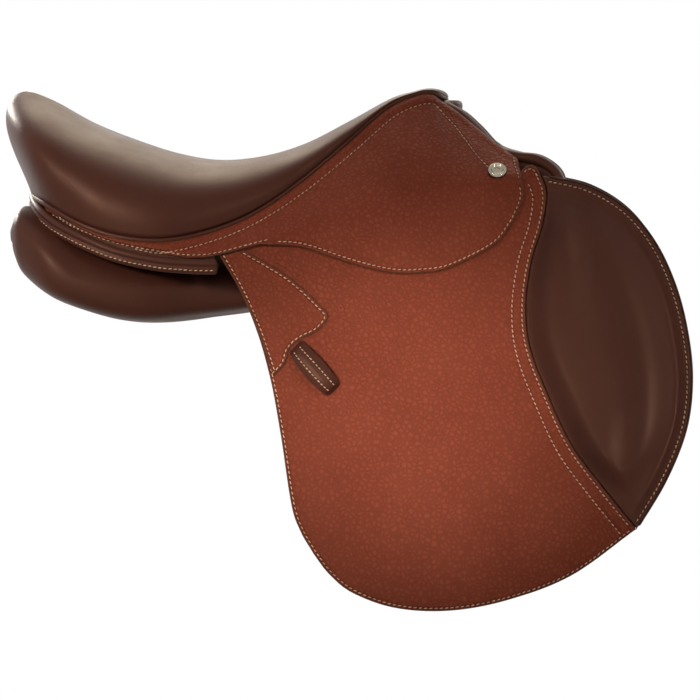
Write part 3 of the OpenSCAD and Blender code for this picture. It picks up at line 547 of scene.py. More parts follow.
@dataclass(frozen=True)
class Metal:
    """A metal finish with cloudy polish and fine scratches."""

    name: str
    colour: Colour
    rough: float
    bump: float

    def make(self) -> bpy.types.Material:
        """Material of the metal."""
        material, tree, shader, where = new_material(self.name)
        cloud = noise(tree, where, 90.0, 4.0)
        long = put(tree, "ShaderNodeMapping", Vector=where, Scale=(60.0, 900.0, 900.0)).outputs[0]
        dark = tuple(c * 0.72 for c in self.colour)
        join(tree, shader, Base_Color=tint(tree, cloud, dark, self.colour), Metallic=1.0,
             Roughness=spread(tree, cloud, 0.3, 0.7, self.rough + 0.08, self.rough - 0.06))
        emboss(tree, shader, maths(tree, "ADD", cloud, noise(tree, long, 1.0, 2.0)), self.bump, 0.0003)
        return material


@dataclass(frozen=True)
class Thread:
    """Waxed linen thread."""

    name: str = "waxed_thread"
    colour: Colour = (0.74, 0.5, 0.34)
    dark: Colour = (0.42, 0.24, 0.15)

    def make(self) -> bpy.types.Material:
        """Material of the thread."""
        material, tree, shader, where = new_material(self.name)
        ply, age = noise(tree, where, 1400.0, 1.0), noise(tree, where, 60.0, 2.0)
        toned = tint(tree, maths(tree, "MULTIPLY", spread(tree, age, 0.35, 0.75), 0.5), self.colour, self.dark)
        join(tree, shader, Base_Color=tint(tree, spread(tree, ply, 0.5, 0.75, 0.0, 0.35), toned, self.dark),
             Roughness=0.6)
        emboss(tree, shader, ply, 0.4, 0.0003)
        return material


@dataclass(frozen=True)
class Wood:
    """Laminated beech of the tree."""

    name: str = "beech_laminate"
    colour: Colour = (0.52, 0.33, 0.17)
    dark: Colour = (0.3, 0.17, 0.08)

    def make(self) -> bpy.types.Material:
        """Material of the wood."""
        material, tree, shader, where = new_material(self.name)
        long = put(tree, "ShaderNodeMapping", Vector=where, Scale=(14.0, 160.0, 60.0)).outputs[0]
        fibre = noise(tree, long, 3.0, 5.0, Distortion=0.6)
        plies = put(tree, "ShaderNodeTexWave", {"bands_direction": "Z"}, Vector=where, Scale=95.0,
                    Distortion=0.4)
        glue = maths(tree, "MULTIPLY", spread(tree, plies.outputs[1], 0.75, 1.0), 0.4)
        grain = tint(tree, spread(tree, fibre, 0.3, 0.72), self.colour, self.dark)
        join(tree, shader, Base_Color=tint(tree, glue, grain, self.dark),
             Roughness=spread(tree, fibre, 0.2, 0.8, 0.38, 0.55))
        emboss(tree, shader, fibre, 0.25, 0.0004)
        return material


@dataclass(frozen=True)
class Weave:
    """Plain woven webbing, or the open skin of foam where the threads are left out."""

    name: str
    colour: Colour
    # Colour of the dust and of the painted shade in the low parts.
    dark: Colour
    threads: float
    woven: bool

    def make(self) -> bpy.types.Material:
        """Material of the cloth or the foam."""
        material, tree, shader, where = new_material(self.name)
        if self.woven:
            warp, weft = (put(tree, "ShaderNodeTexWave", {"bands_direction": way}, Vector=where,
                              Scale=self.threads).outputs[1] for way in "XY")
            height = maths(tree, "MULTIPLY", warp, weft)
        else:
            height = put(tree, "ShaderNodeTexVoronoi", Vector=where, Scale=self.threads).outputs["Distance"]
        # Painted shade: the weave's low parts and the foam's pores are mixed towards the dark colour.
        low = tint(tree, spread(tree, height, 0.1, 0.7), self.dark, self.colour)
        dust = maths(tree, "MULTIPLY", noise(tree, where, 40.0, 4.0), 0.3)
        join(tree, shader, Base_Color=tint(tree, dust, low, self.dark), Roughness=0.88,
             Specular_IOR_Level=0.2)
        emboss(tree, shader, height, 0.5, 0.0006)
        return material


class Finishes:
    """All the finishes of the saddle, each made once."""

    def __init__(self) -> None:
        """Makes the shared grain and the materials."""
        grain = Grain().make()
        # The second colour of each leather is its deep tone for the creases (partly painted shade) and the
        # stitch grooves (painted shade).
        self.grained = Leather("grained_leather", (0.208, 0.042, 0.0205), (0.108, 0.0188, 0.0092),
                               (0.085, 0.035, 0.022), cells=240.0, wrinkle=0.35, bump=1.0, crease=0.5,
                               rough=0.5, specular=0.2, warmth=0.07).make(grain)
        self.calf = Leather("calf_leather", (0.06, 0.018, 0.011), (0.03, 0.009, 0.006), (0.1, 0.033, 0.022),
                            cells=1100.0, wrinkle=0.12, bump=0.1, crease=0.25, rough=0.36, specular=0.24,
                            warmth=0.1).make(grain)
        self.bridle = Leather("bridle_leather", (0.052, 0.021, 0.014), (0.022, 0.009, 0.006),
                              (0.03, 0.012, 0.009), cells=700.0, wrinkle=0.25, bump=0.2, crease=0.35,
                              rough=0.48, specular=0.14).make(grain)
        self.thread = Thread().make()
        self.wood = Wood().make()
        self.steel = Metal("forged_steel", (0.42, 0.41, 0.4), rough=0.4, bump=0.25).make()
        self.nickel = Metal("bright_nickel", (0.33, 0.29, 0.23), rough=0.17, bump=0.05).make()
        self.web = Weave("girth_webbing", (0.62, 0.55, 0.42), (0.34, 0.28, 0.19), 240.0, woven=True).make()
        self.foam = Weave("seat_foam", (0.72, 0.66, 0.48), (0.5, 0.43, 0.28), 420.0, woven=False).make()


# Making and placing pieces


def build_mesh(name: str, bm: bmesh.types.BMesh, material: bpy.types.Material) -> bpy.types.Object:
    """Turns a finished bmesh into a smooth object in the scene.

    Args:
        name: name of the piece.
        bm: the bmesh, freed here.
        material: finish of the piece.

    Returns:
        The object, at the origin.
    """
    for f in bm.faces:
        f.smooth = True
    mesh = bpy.data.meshes.new(name)
    bm.to_mesh(mesh)
    bm.free()
    mesh.materials.append(material)
    obj = bpy.data.objects.new(name, mesh)
    bpy.context.scene.collection.objects.link(obj)
    return obj


def mirrored(obj: bpy.types.Object, name: str) -> bpy.types.Object:
    """Left-hand copy of a right-hand piece.

    Args:
        obj: the right-hand piece.
        name: name of the copy.

    Returns:
        The copy.
    """
    bm = bmesh.new()
    bm.from_mesh(obj.data)
    bmesh.ops.scale(bm, vec=(1.0, -1.0, 1.0), verts=bm.verts[:])
    bmesh.ops.reverse_faces(bm, faces=bm.faces[:])
    return build_mesh(name, bm, obj.data.materials[0])


def hand_over(obj: bpy.types.Object, body: str,
              nodes: Sequence[str] = ()) -> None:
    """Sets a piece on its body and the solids that it stands for.

    Args:
        obj: the piece.
        body: name of the body that carries it.
        nodes: names of the solids that it replaces.
    """
    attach(obj, body)
    if nodes:
        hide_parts(*nodes)
    LOG.info("%s on %s, %d faces", obj.name, body, len(obj.data.polygons))


def hand_over_pair(obj: bpy.types.Object, stem: str, carrier: Carrier,
                   nodes: Sequence[str] = ()) -> None:
    """Places a right-hand piece and its mirror image.

    Args:
        obj: the right-hand piece.
        stem: name of the piece without its side.
        carrier: body that carries it.
        nodes: solids that it replaces, without their side.
    """
    for side in Side:
        name = f"{stem}_{side.value}"
        piece = obj if side is Side.RIGHT else mirrored(obj, name)
        piece.name = name
        hand_over(piece, carrier.body(side), [f"{n}_{side.value}" for n in nodes])


def lattice(bm: bmesh.types.BMesh, u: Array, v: Array) -> tuple[list, list, Array, Array]:
    """Adds a grid to a bmesh.

    Args:
        bm: bmesh that takes the grid.
        u: shares of its columns.
        v: shares of its rows.

    Returns:
        The grid's vertices, its faces, and the u and v of each vertex.
    """
    verts = bmesh.ops.create_grid(bm, x_segments=len(u) - 1, y_segments=len(v) - 1, size=0.5,
                                  calc_uvs=False)["verts"]
    faces = list({f for p in verts for f in p.link_faces})
    co = np.array([p.co for p in verts])
    i = np.rint((co[:, 0] + 0.5) * (len(u) - 1)).astype(int)
    j = np.rint((co[:, 1] + 0.5) * (len(v) - 1)).astype(int)
    return verts, faces, u[i], v[j]


def move_to(verts: Sequence[Any], points: Array) -> None:
    """Moves vertices to points given in mm."""
    for vert, p in zip(verts, points * MM):
        vert.co = p


def close_up(bm: bmesh.types.BMesh) -> None:
    """Merges the doubles of a closed skin and turns its faces outwards."""
    bmesh.ops.remove_doubles(bm, verts=bm.verts[:], dist=MERGE_M)
    bmesh.ops.dissolve_degenerate(bm, edges=bm.edges[:], dist=SLIVER_M)
    bmesh.ops.recalc_face_normals(bm, faces=bm.faces[:])


@dataclass
class Row:
    """A row of stitches: its points and the outward directions there, in mm."""

    points: Array
    out: Array
    pitch: float = STITCH_PITCH


def side_row(q: Array, depth: float) -> Row:
    """Row on the hanging surface, from rows of place and drop and the depth of the leather's face."""
    return Row(FORM.on_side(q, depth), FORM.side_out(q))


def sew(name: str, rows: Sequence[Row], thread: bpy.types.Material) -> bpy.types.Object:
    """One piece with all the stitches of some rows.

    Args:
        name: name of the piece.
        rows: the rows.
        thread: finish of the thread.

    Returns:
        The stitches.
    """
    bm = bmesh.new()
    cos, sin = math.cos(STITCH_TURN), math.sin(STITCH_TURN)
    for row in rows:
        line = spaced(np.hstack([row.points, row.out]), row.pitch)
        for a, b in zip(line[:-1], line[1:]):
            out = unit((a[3:] + b[3:]) / 2)
            way = unit(b[:3] - a[:3])
            way = unit(way - out * np.dot(way, out))
            beside = np.cross(out, way)
            way, beside = way * cos + beside * sin, beside * cos - way * sin
            place = Matrix.Identity(4)
            half = (STITCH_LONG * row.pitch, *STITCH_HALF)
            for k, (axis, size) in enumerate(zip((way, beside, out), half)):
                place.col[k][:3] = axis * size * MM
            place.col[3][:3] = ((a + b)[:3] / 2 + out * STITCH_PROUD) * MM
            bmesh.ops.create_uvsphere(bm, u_segments=6, v_segments=4, radius=1.0, matrix=place)
    bmesh.ops.recalc_face_normals(bm, faces=bm.faces[:])
    return build_mesh(name, bm, thread)


def sew_pair(stem: str, rows: Sequence[Row], looks: Finishes, carrier: Carrier) -> None:
    """Sews right-hand rows and places them on both sides."""
    hand_over_pair(sew(stem, rows, looks.thread), stem, carrier)


@dataclass
class Sheet:
    """A sheet of leather between two faces, rounded over along its free edges and any extra edge points."""

    name: str
    place: Callable[[Array, Array], Array]
    u: Array
    v: Array
    thick: float
    free: tuple[Rim, ...] = tuple(Rim)
    rows: list[Row] = field(default_factory=list)
    radius: float = 1.5
    extra: Optional[Array] = None
    rim_start: float = 0.5
    rim_fade: float = 1.3
    seam_reach: float = 1.7

    def rim_line(self, rim: Rim) -> Array:
        """Points along one edge of the sheet's face."""
        t = np.linspace(0.0, 1.0, RIM_POINTS)
        flat = {Rim.TOP: (t, 0 * t), Rim.BASE: (t, 0 * t + 1), Rim.BACK: (0 * t, t),
                Rim.FRONT: (0 * t + 1, t)}
        return self.place(*flat[rim])

    def build(self, material: bpy.types.Material) -> bpy.types.Object:
        """Mesh of the sheet.

        Args:
            material: finish of the leather.

        Returns:
            The sheet as a closed skin.
        """
        bm = bmesh.new()
        masks = [bm.verts.layers.float.new(key) for key in MASKS]
        front, _, u, v = lattice(bm, self.u, self.v)
        back, back_faces, _, _ = lattice(bm, self.u, self.v)
        face = self.place(u, v)
        edges = [self.rim_line(r) for r in self.free] + ([] if self.extra is None else [self.extra])
        far = nearest(face, np.vstack(edges))
        curl = np.sqrt(1.0 - (1.0 - np.clip(far / self.radius, 0.0, 1.0)) ** 2)
        move_to(front, face + column((1.0 - curl) * self.thick / 2) * INWARD)
        move_to(back, face + column((1.0 + curl) * self.thick / 2) * INWARD)
        # Shares of the rim band and of the stitch grooves; the grooves are darkened later as painted shade.
        toned = [1.0 - ease((far - self.rim_start) / self.rim_fade), 0.0 * far]
        if self.rows:
            marks = np.vstack([spaced(r.points, 1.0) for r in self.rows])
            toned[1] = 1.0 - ease(nearest(face, marks) / self.seam_reach)
        for k, (a, b) in enumerate(zip(front, back)):
            for mask, share in zip(masks, toned):
                a[mask] = b[mask] = share[k]
        bmesh.ops.reverse_faces(bm, faces=back_faces)
        for r in set(Rim) - set(self.free):
            on = {Rim.TOP: v == 0, Rim.BASE: v == 1, Rim.BACK: u == 0, Rim.FRONT: u == 1}[r]
            chain = {a: b.co.copy() for a, b, k in zip(front, back, on) if k}
            edges = [e for e in bm.edges if all(p in chain for p in e.verts)]
            ends = {tuple(a.co): co for a, co in chain.items()}
            for e in edges:
                e.smooth = False
            for p in bmesh.ops.extrude_edge_only(bm, edges=edges)["geom"]:
                if isinstance(p, bmesh.types.BMVert):
                    p.co = ends[tuple(p.co)]
                elif isinstance(p, bmesh.types.BMEdge):
                    p.smooth = False
        close_up(bm)
        return build_mesh(self.name, bm, material)


def tube(name: str, path: Array, section: Array, material: bpy.types.Material, loop: bool = False,
         dome: float = 0.0, level: bool = True) -> bpy.types.Object:
    """Section carried along a path.

    Args:
        name: name of the piece.
        path: rows of points in mm.
        section: rows of offsets across and up.
        material: finish of the piece.
        loop: whether the path closes on itself.
        dome: length over which both ends close to a round tip.
        level: whether the section keeps level across the path.

    Returns:
        The tube.
    """
    t = np.roll(path, -1, 0) - np.roll(path, 1, 0) if loop else np.gradient(path, axis=0)
    t = unit(t)
    beside = unit(np.cross(UP, t)) if level else unit(np.cross(INWARD, t))
    up = np.cross(t, beside)
    n, m = len(path), len(section)
    size = np.ones(n)
    if dome > 0:
        d = np.concatenate([[0.0], np.cumsum(np.linalg.norm(np.diff(path, axis=0), axis=1))])
        size = np.sqrt(1.0 - (1.0 - np.clip(np.minimum(d, d[-1] - d) / dome, 0.0, 1.0)) ** 2)
    bm = bmesh.new()
    rows = np.linspace(0.0, 1.0, n + loop)
    cols = np.linspace(0.0, 1.0, m + 1)
    verts, _, u, v = lattice(bm, cols, rows)
    i = np.rint(v * (n + loop - 1)).astype(int) % n
    j = np.rint(u * m).astype(int) % m
    q = section[j] * column(size[i])
    move_to(verts, path[i] + beside[i] * q[:, :1] + up[i] * q[:, 1:])
    bmesh.ops.remove_doubles(bm, verts=bm.verts[:], dist=MERGE_M)
    ends = [e for e in bm.edges if e.is_boundary]
    if ends:
        bmesh.ops.holes_fill(bm, edges=ends, sides=0)
    close_up(bm)
    return build_mesh(name, bm, material)


def oval(a: float, b: float, power: float, n: int) -> Array:
    """Section of a rounded bar: half width, half height, squareness and number of points."""
    t = np.linspace(0.0, 2 * np.pi, n, endpoint=False)
    c, s = np.cos(t), np.sin(t)
    x, y = (size * np.sign(k) * np.abs(k) ** (2 / power) for size, k in ((a, c), (b, s)))
    return np.stack([x, y], axis=1)


def whole(half: Array) -> Array:
    """Line that goes on across the saddle from its right half."""
    return np.vstack([half, across(half[-2::-1])])


def inflate(obj: bpy.types.Object, held: Array, pressure: float, cap: float) -> None:
    """Swells padded leather with a cloth simulation and keeps the result as its mesh.

    Args:
        obj: the padded piece.
        held: share of 0 to 1 by which each vertex is held by its seams.
        pressure: pressure of the filling.
        cap: furthest move of a point in mm.
    """
    scene = bpy.context.scene
    group = obj.vertex_groups.new(name="held")
    for k in np.flatnonzero(held > 0):
        group.add([int(k)], float(held[k]), "REPLACE")
    cloth = obj.modifiers.new("filling", "CLOTH")
    s = cloth.settings
    s.quality, s.mass, s.air_damping = 6, 0.15, 2.0
    s.tension_stiffness = s.compression_stiffness = 18.0
    s.shear_stiffness, s.bending_stiffness = 8.0, 1.2
    s.use_pressure, s.uniform_pressure_force = True, pressure
    s.vertex_group_mass, s.pin_stiffness = "held", 1.0
    s.effector_weights.gravity = 0.0
    cloth.collision_settings.use_collision = cloth.collision_settings.use_self_collision = False
    cloth.point_cache.frame_start, cloth.point_cache.frame_end = 1, FILL_STEPS
    for k in range(1, FILL_STEPS + 1):
        scene.frame_set(k)
    posed = obj.evaluated_get(bpy.context.evaluated_depsgraph_get())
    n = len(obj.data.vertices)
    new, old = np.empty(3 * n), np.empty(3 * n)
    posed.data.vertices.foreach_get("co", new)
    obj.data.vertices.foreach_get("co", old)
    obj.modifiers.remove(cloth)
    obj.vertex_groups.remove(group)
    move = (new - old).reshape(-1, 3)
    far = np.linalg.norm(move, axis=1, keepdims=True)
    move = move / np.maximum(far, 1e-12) * (cap * MM) * np.tanh(far / (cap * MM))
    obj.data.vertices.foreach_set("co", old + move.ravel())
    obj.data.update()
    scene.frame_set(1)
    LOG.info("%s swelled by up to %.1f mm", obj.name, float(far.max() / MM))


# The seat


@dataclass
class Seat:
    """Seat leather, its padding and the piping round its lower edge."""

    cover_t: float = 2.4
    foam_t: float = 22.0
    piping_d: float = 3.0
    power: float = 0.87
    edge_run: Numbers = (0.05, 0.061, 0.104, 0.172, 0.251, 0.34, 0.426, 0.514, 0.6, 0.688, 0.77, 0.828, 0.856,
                         0.876, 0.886)
    edge_half: Numbers = (0, 0.376, 0.75, 0.92, 1, 1.014, 0.93, 0.81, 0.685, 0.52, 0.352, 0.28, 0.25, 0.17, 0)
    edge_rise: Numbers = (1, 0.973, 0.81, 0.41, 0.104, 0, 0.047, 0.165, 0.365, 0.622, 0.876, 0.968, 0.977,
                          0.955, 0.935)
    ridge_run: Numbers = (0.033, 0.056, 0.102, 0.172, 0.251, 0.34, 0.426, 0.514, 0.6, 0.688, 0.77, 0.816,
                          0.84, 0.858, 0.87)
    ridge_rise: Numbers = (0.99, 0.955, 0.81, 0.53, 0.3, 0.095, 0, 0.053, 0.23, 0.54, 0.848, 0.95, 0.99,
                           0.985, 0.955)
    bulge: Numbers = (1, 1, 0.9, 0.6, 0.35, 0.25, 0.25, 0.25, 0.2, 0.15, 0.1, 0.05, 0, 0, 0)
    edge_sink: float = 0.85
    sink_from: float = 0.55
    sink_over: float = 0.15
    probe: float = 0.01
    crowding: float = 0.35
    pole_merge_m: float = 2e-5
    welt_in: float = 1.2
    welt_drop: float = 1.6
    low_k: int = 5
    dip_k: int = 6

    def edge_points(self) -> Array:
        """Points of the seat's lower edge, from the cantle round the right side to the pommel."""
        high = [FORM.edge_back_h if k < self.low_k else FORM.pommel_h for k in range(len(self.edge_run))]
        rise = FORM.edge_low_h + (np.array(high) - FORM.edge_low_h) * np.array(self.edge_rise)
        return np.stack([FORM.run(self.edge_run), -np.array(self.edge_half) * FORM.seat_half, rise], axis=1)

    def edge(self, t: Any) -> Array:
        """Lower edge at t, which goes on across the saddle below 0 and above 1."""
        p = self.edge_points()
        t = np.asarray(t, float)
        beyond = column((t < 0) | (t > 1)) > 0
        line = curve(p, np.where(t < 0, -t, np.where(t > 1, 2.0 - t, t)), across(p[1]), across(p[-2]))
        return np.where(beyond, across(line), line)

    def ridge(self, t: Any) -> Array:
        """Line along the top of the seat at t."""
        high = [FORM.cantle_h if k < self.dip_k else FORM.pommel_h for k in range(len(self.ridge_run))]
        rise = FORM.dip_h + (np.array(high) - FORM.dip_h) * np.array(self.ridge_rise)
        x = FORM.run(self.ridge_run)
        return curve(np.stack([x, 0 * x, rise], axis=1), t)

    def edge_out(self, t: Array) -> Array:
        """Level outward directions of the lower edge at t."""
        d = self.edge(t + self.probe) - self.edge(t - self.probe)
        return unit(np.stack([d[:, 1], -d[:, 0], 0 * t], axis=1))

    def place(self, t: Array, s: Array, depth: float) -> Array:
        """Points of the seat.

        Args:
            t: places round the lower edge.
            s: from 0 on the right edge over the top at 1 to 2 on the left edge.
            depth: depth below the leather's face.

        Returns:
            Rows of points.
        """
        w = np.where(s <= 1.0, s, 2.0 - s)
        out = self.edge_out(t)
        bulge = column(FORM.cantle_bulge * curve(self.bulge, t) * np.sin(np.pi * w))
        angle = np.pi / 2 * w
        level = column(1.0 - np.maximum(np.cos(angle), 0.0) ** self.power)
        rise = np.sin(angle) ** self.power
        sink = depth * self.edge_sink * ease((t - self.sink_from) / self.sink_over)
        low = self.edge(t) - out * depth - UP * column(sink)
        high = self.ridge(t) - out * depth - UP * depth
        high[:, 1] = 0.0
        p = mix(low, high, level) + out * bulge
        p[:, 2] = mix(low[:, 2], high[:, 2], rise)
        p[:, 1] = np.where((t <= 0) | (t >= 1) | (w >= 1), 0.0, p[:, 1])
        return np.where(column(s <= 1.0) > 0, p, across(p))

    def shell(self, name: str, upper: float, lower: float, material: bpy.types.Material,
              size: tuple[int, int]) -> bpy.types.Object:
        """Closed shell between two depths.

        Args:
            name: name of the piece.
            upper: depth of its outer face.
            lower: depth of its inner face.
            material: its finish.
            size: columns and rows of each face.

        Returns:
            The shell.
        """
        t = np.linspace(0.0, 1.0, size[0] + 1)
        t = t - self.crowding * np.sin(2 * np.pi * t) / (2 * np.pi)
        s = np.linspace(0.0, 2.0, 2 * size[1] + 1)
        bm = bmesh.new()
        for depth in (upper, lower):
            verts, _, u, v = lattice(bm, t, s)
            move_to(verts, self.place(u, v, depth))
            bmesh.ops.remove_doubles(bm, verts=verts, dist=self.pole_merge_m)
        bmesh.ops.bridge_loops(bm, edges=[e for e in bm.edges if e.is_boundary])
        close_up(bm)
        return build_mesh(name, bm, material)

    def build(self, looks: Finishes) -> None:
        """Builds and places the seat's pieces."""
        cover = self.shell("seat_leather", 0.0, self.cover_t, looks.calf, (150, 44))
        hand_over(cover, "saddle", ["seat_cover"])
        deep = self.cover_t + FORM.gap
        stuffing = self.shell("seat_stuffing", deep, deep + self.foam_t, looks.foam, (70, 20))
        hand_over(stuffing, "saddle", ["seat_foam"])
        t = np.linspace(0.0, 1.0, 160)
        radius = self.piping_d / 2
        half = self.edge(t) - self.welt_in * self.edge_out(t) - UP * (radius + self.welt_drop * FORM.gap)
        half[[0, -1], 1] = 0.0
        path = np.vstack([half, across(half[-2:0:-1])])
        welt = tube("seat_welt", path, oval(radius, radius + 2 * FORM.gap, 2.3, 12), looks.calf, loop=True)
        hand_over(welt, "saddle", ["seat_piping"])


# The skirts


@dataclass
class Skirt:
    """Skirt from the seat to the bend line, the lower skirt under it, their stitching and the nail."""

    seat: Seat
    first_k: int = 2
    last_k: int = 12
    front_run: Numbers = (0.8732, 0.9035, 0.934, 0.974, 1.028)
    front_half: Numbers = (0.32, 0.39, 0.47, 0.59, 0.76)
    front_rise: Numbers = (0.943, 0.898, 0.845, 0.772, 0.684)
    tail_run: Numbers = (0.108, 0.183, 0.268, 0.354, 0.43)
    tail_half: Numbers = (0.716, 0.871, 0.958, 1.0, 1.0143)
    tail_rise: Numbers = (1.68, 1.37, 1.14, 0.99, 0.952)
    bend_run: Numbers = (0.117, 0.277, 0.42, 0.56, 0.663, 0.716, 0.754, 0.792, 0.83, 0.883, 0.939)
    swell: float = 0.06
    roll: float = 1.7
    roll_wide: Pair = (9.5, 15.5)
    roll_share: float = 0.94
    row_drift: float = 17.0
    row_span: Pair = (0.012, 0.911)
    row_far: float = 14.0
    drift_at: Pair = (0.72, 0.19)
    tail_span: Pair = (0.03, 0.36)
    tail_past: float = 9.0
    front_span: Pair = (0.1, 0.98)
    roll_start: Pair = (0.02, 0.12)
    roll_end: Pair = (0.6, 0.3)
    roll_thin: float = 0.6
    hang_from: float = -100.0
    hang_over: float = 50.0
    belly_inset: float = 3.1
    belly_middle: Pair = (50.0, 5.0)
    joint_x: float = -64.0
    belly_top: Pairs = ((0.085, 0.0), (0.36, 0.0), (0.6348, 0.0))
    belly_base: Pairs = ((0.09, 0.004), (0.17, 0.033), (0.273, 0.102), (0.358, 0.15), (0.421, 0.169),
                         (0.484, 0.175), (0.578, 0.146), (0.62, 0.097))
    belly_front: Pairs = ((0.6348, 0.0), (0.639, 0.045), (0.62, 0.097))
    nail: Pair = (0.917, 0.77)
    nail_d: float = 15.0
    nail_h: float = 3.4
    nail_spread: float = 1.08
    nail_sunk: float = 0.8
    nail_head: Pairs = ((1.0, 0.42), (0.96, 0.7), (0.86, 0.95), (0.76, 1.0), (0.68, 0.9), (0.6, 0.62),
                        (0.5, 0.44), (0.4, 0.42), (0.3, 0.5), (0.15, 0.62), (0.0, 0.66))
    tail_inset: float = 3.0
    front_u: float = 0.988

    def top(self) -> Array:
        """Points of the skirt's top edge, from the tail to the foot of the pommel."""
        side = self.seat.edge_points()[self.first_k:self.last_k + 1]
        side = side - [0.0, FORM.gap, self.seat.piping_d + 0.5 * FORM.gap]
        return np.vstack([side, FORM.at_front(self.front_run, self.front_half, self.front_rise)])

    def base(self) -> Array:
        """Points of the skirt's bottom edge, along the tail and the bend line."""
        x = mix(FORM.bend_back[0], FORM.bend_front[0], np.array(self.bend_run))
        return np.vstack([FORM.at_back(self.tail_run, self.tail_half, self.tail_rise),
                          FORM.on_side(np.stack([x, 0 * x], axis=1), 0.0)])

    def plain(self, u: Array, v: Array) -> Array:
        """Skirt's face without its rolled edge."""
        a, b = curve(self.top(), u), curve(self.base(), u)
        span = np.linalg.norm(b - a, axis=-1, keepdims=True)
        vv = column(v)
        p = mix(a, b, vv) - INWARD * self.swell * span * np.sin(np.pi * vv)
        slope = b - a + INWARD * self.swell * np.pi * span
        q = np.stack([b[..., 0], 0 * b[..., 0]], axis=-1)
        hang = unit(FORM.on_side(q + [0.0, 1.0], 0.0) - FORM.on_side(q, 0.0))
        turn = slope - np.linalg.norm(slope, axis=-1, keepdims=True) * hang
        share = column(ease((b[..., 0] - self.hang_from) / self.hang_over))
        return p + vv**6 * (1 - vv) * turn * share

    def place(self, u: Array, v: Array) -> Array:
        """Skirt's face with its rolled top edge."""
        p = self.plain(u, v)
        d = np.linalg.norm(p - curve(self.top(), u), axis=-1)
        wide = mix(self.roll_wide[0], self.roll_wide[1], u) * self.roll_share
        share = np.clip(d / wide, 0.0, 1.0)
        start, end = (ease((u - a) / b) for a, b in (self.roll_start, self.roll_end))
        lift = self.roll * np.sin(np.pi * share) * start * (1.0 - self.roll_thin * end)
        step = 1e-3
        down = self.plain(u, np.minimum(v + step, 1.0)) - p
        along = self.plain(np.minimum(u + step, 1.0), v) - p
        out = unit(np.cross(down, along))
        return p + np.nan_to_num(out) * column(lift)

    def face_out(self, u: Array, v: Array) -> Array:
        """Outward directions of the skirt's face."""
        step = 2e-3
        along = self.plain(np.minimum(u + step, 1.0), v) - self.plain(np.maximum(u - step, 0.0), v)
        down = self.plain(u, np.minimum(v + step, 1.0)) - self.plain(u, np.maximum(v - step, 0.0))
        return unit(np.cross(down, along))

    def at_gap(self, u: Array, gap: Array) -> Row:
        """Row of stitches at a distance from the top edge.

        Args:
            u: places along the skirt.
            gap: distance of the row at each place.

        Returns:
            The row.
        """
        edge = curve(self.top(), np.linspace(0.0, 1.0, 900))
        v = np.linspace(0.0, 1.0, 90)
        found = []
        for uu, g in zip(u, gap):
            far = nearest(self.plain(np.full_like(v, uu), v), edge)
            found.append(float(np.interp(g, np.maximum.accumulate(far), v)))
        return self.row(u, np.array(found))

    def row(self, u: Array, v: Array) -> Row:
        """Row of stitches through places on the skirt."""
        return Row(self.place(u, v), self.face_out(u, v))

    def rows(self) -> list[Row]:
        """Stitch rows of the skirt: below the roll, along the tail and down the front edge."""
        u = np.linspace(*self.row_span, 120)
        drift = self.row_drift * ease((u - self.drift_at[0]) / self.drift_at[1])
        roll = self.at_gap(u, mix(self.roll_wide[0], self.row_far, u) + drift)
        tail_u = np.linspace(*self.tail_span, 50)
        x = curve(self.base(), tail_u)[:, 0]
        tail_u = tail_u[x < self.joint_x + self.tail_past]
        span = np.linalg.norm(curve(self.base(), tail_u) - curve(self.top(), tail_u), axis=1)
        v = np.linspace(*self.front_span, 12)
        return [roll, self.row(tail_u, np.clip(1.0 - self.tail_inset / span, 0.3, 1.0)),
                self.row(np.full_like(v, self.front_u), v)]

    def build_nails(self, looks: Finishes) -> bpy.types.Object:
        """Both nails with their dished heads, spun from their profile.

        Args:
            looks: the finishes.

        Returns:
            The nails as one piece.
        """
        r, h = self.nail_d / 2 * self.nail_spread, self.nail_h
        profile = [(0.0, -0.3), (r * 0.9, -0.3), (r, 0.1), *((r * a, h * b) for a, b in self.nail_head)]
        bm = bmesh.new()
        line = [bm.verts.new((x * MM, 0.0, z * MM)) for x, z in profile]
        edges = [bm.edges.new(pair) for pair in zip(line[:-1], line[1:])]
        bmesh.ops.spin(bm, geom=line + edges, cent=(0, 0, 0), axis=(0, 0, 1), angle=2 * math.pi, steps=40,
                       use_merge=True)
        close_up(bm)
        u, v = np.array([self.nail[0]]), np.array([self.nail[1]])
        out = Vector(self.face_out(u, v)[0])
        turn = out.to_track_quat("Z", "Y").to_matrix().to_4x4()
        spot = Vector(self.plain(u, v)[0] * MM) + out * self.nail_sunk * MM
        bmesh.ops.transform(bm, matrix=Matrix.Translation(spot) @ turn, verts=bm.verts[:])
        both = bmesh.ops.duplicate(bm, geom=bm.verts[:] + bm.edges[:] + bm.faces[:])["geom"]
        bmesh.ops.scale(bm, vec=(1, -1, 1), verts=[g for g in both if isinstance(g, bmesh.types.BMVert)])
        bmesh.ops.reverse_faces(bm, faces=[g for g in both if isinstance(g, bmesh.types.BMFace)])
        return build_mesh("skirt_nail_heads", bm, looks.nickel)

    def build(self, looks: Finishes) -> None:
        """Builds and places the skirts, their stitches and the nails."""
        v = np.unique(np.concatenate([np.linspace(0, 0.3, 34), np.linspace(0.3, 1.0, 30),
                                      [0.004, 0.97, 0.985, 0.995]]).round(5))
        rows = self.rows()
        face = Sheet("skirt", self.place, stops(560.0, 4.0), v, FORM.skirt_t, (Rim.TOP, Rim.BACK, Rim.FRONT),
                     rows)
        tail = face.rim_line(Rim.BASE)
        face.extra = tail[tail[:, 0] < self.joint_x]
        hand_over_pair(face.build(looks.grained), "skirt_leather", Carrier.SADDLE, ["skirt"])
        sew_pair("skirt_stitches", rows, looks, Carrier.SADDLE)
        hand_over(self.build_nails(looks), "saddle", ["skirt_nails"])
        self.build_belly(looks)

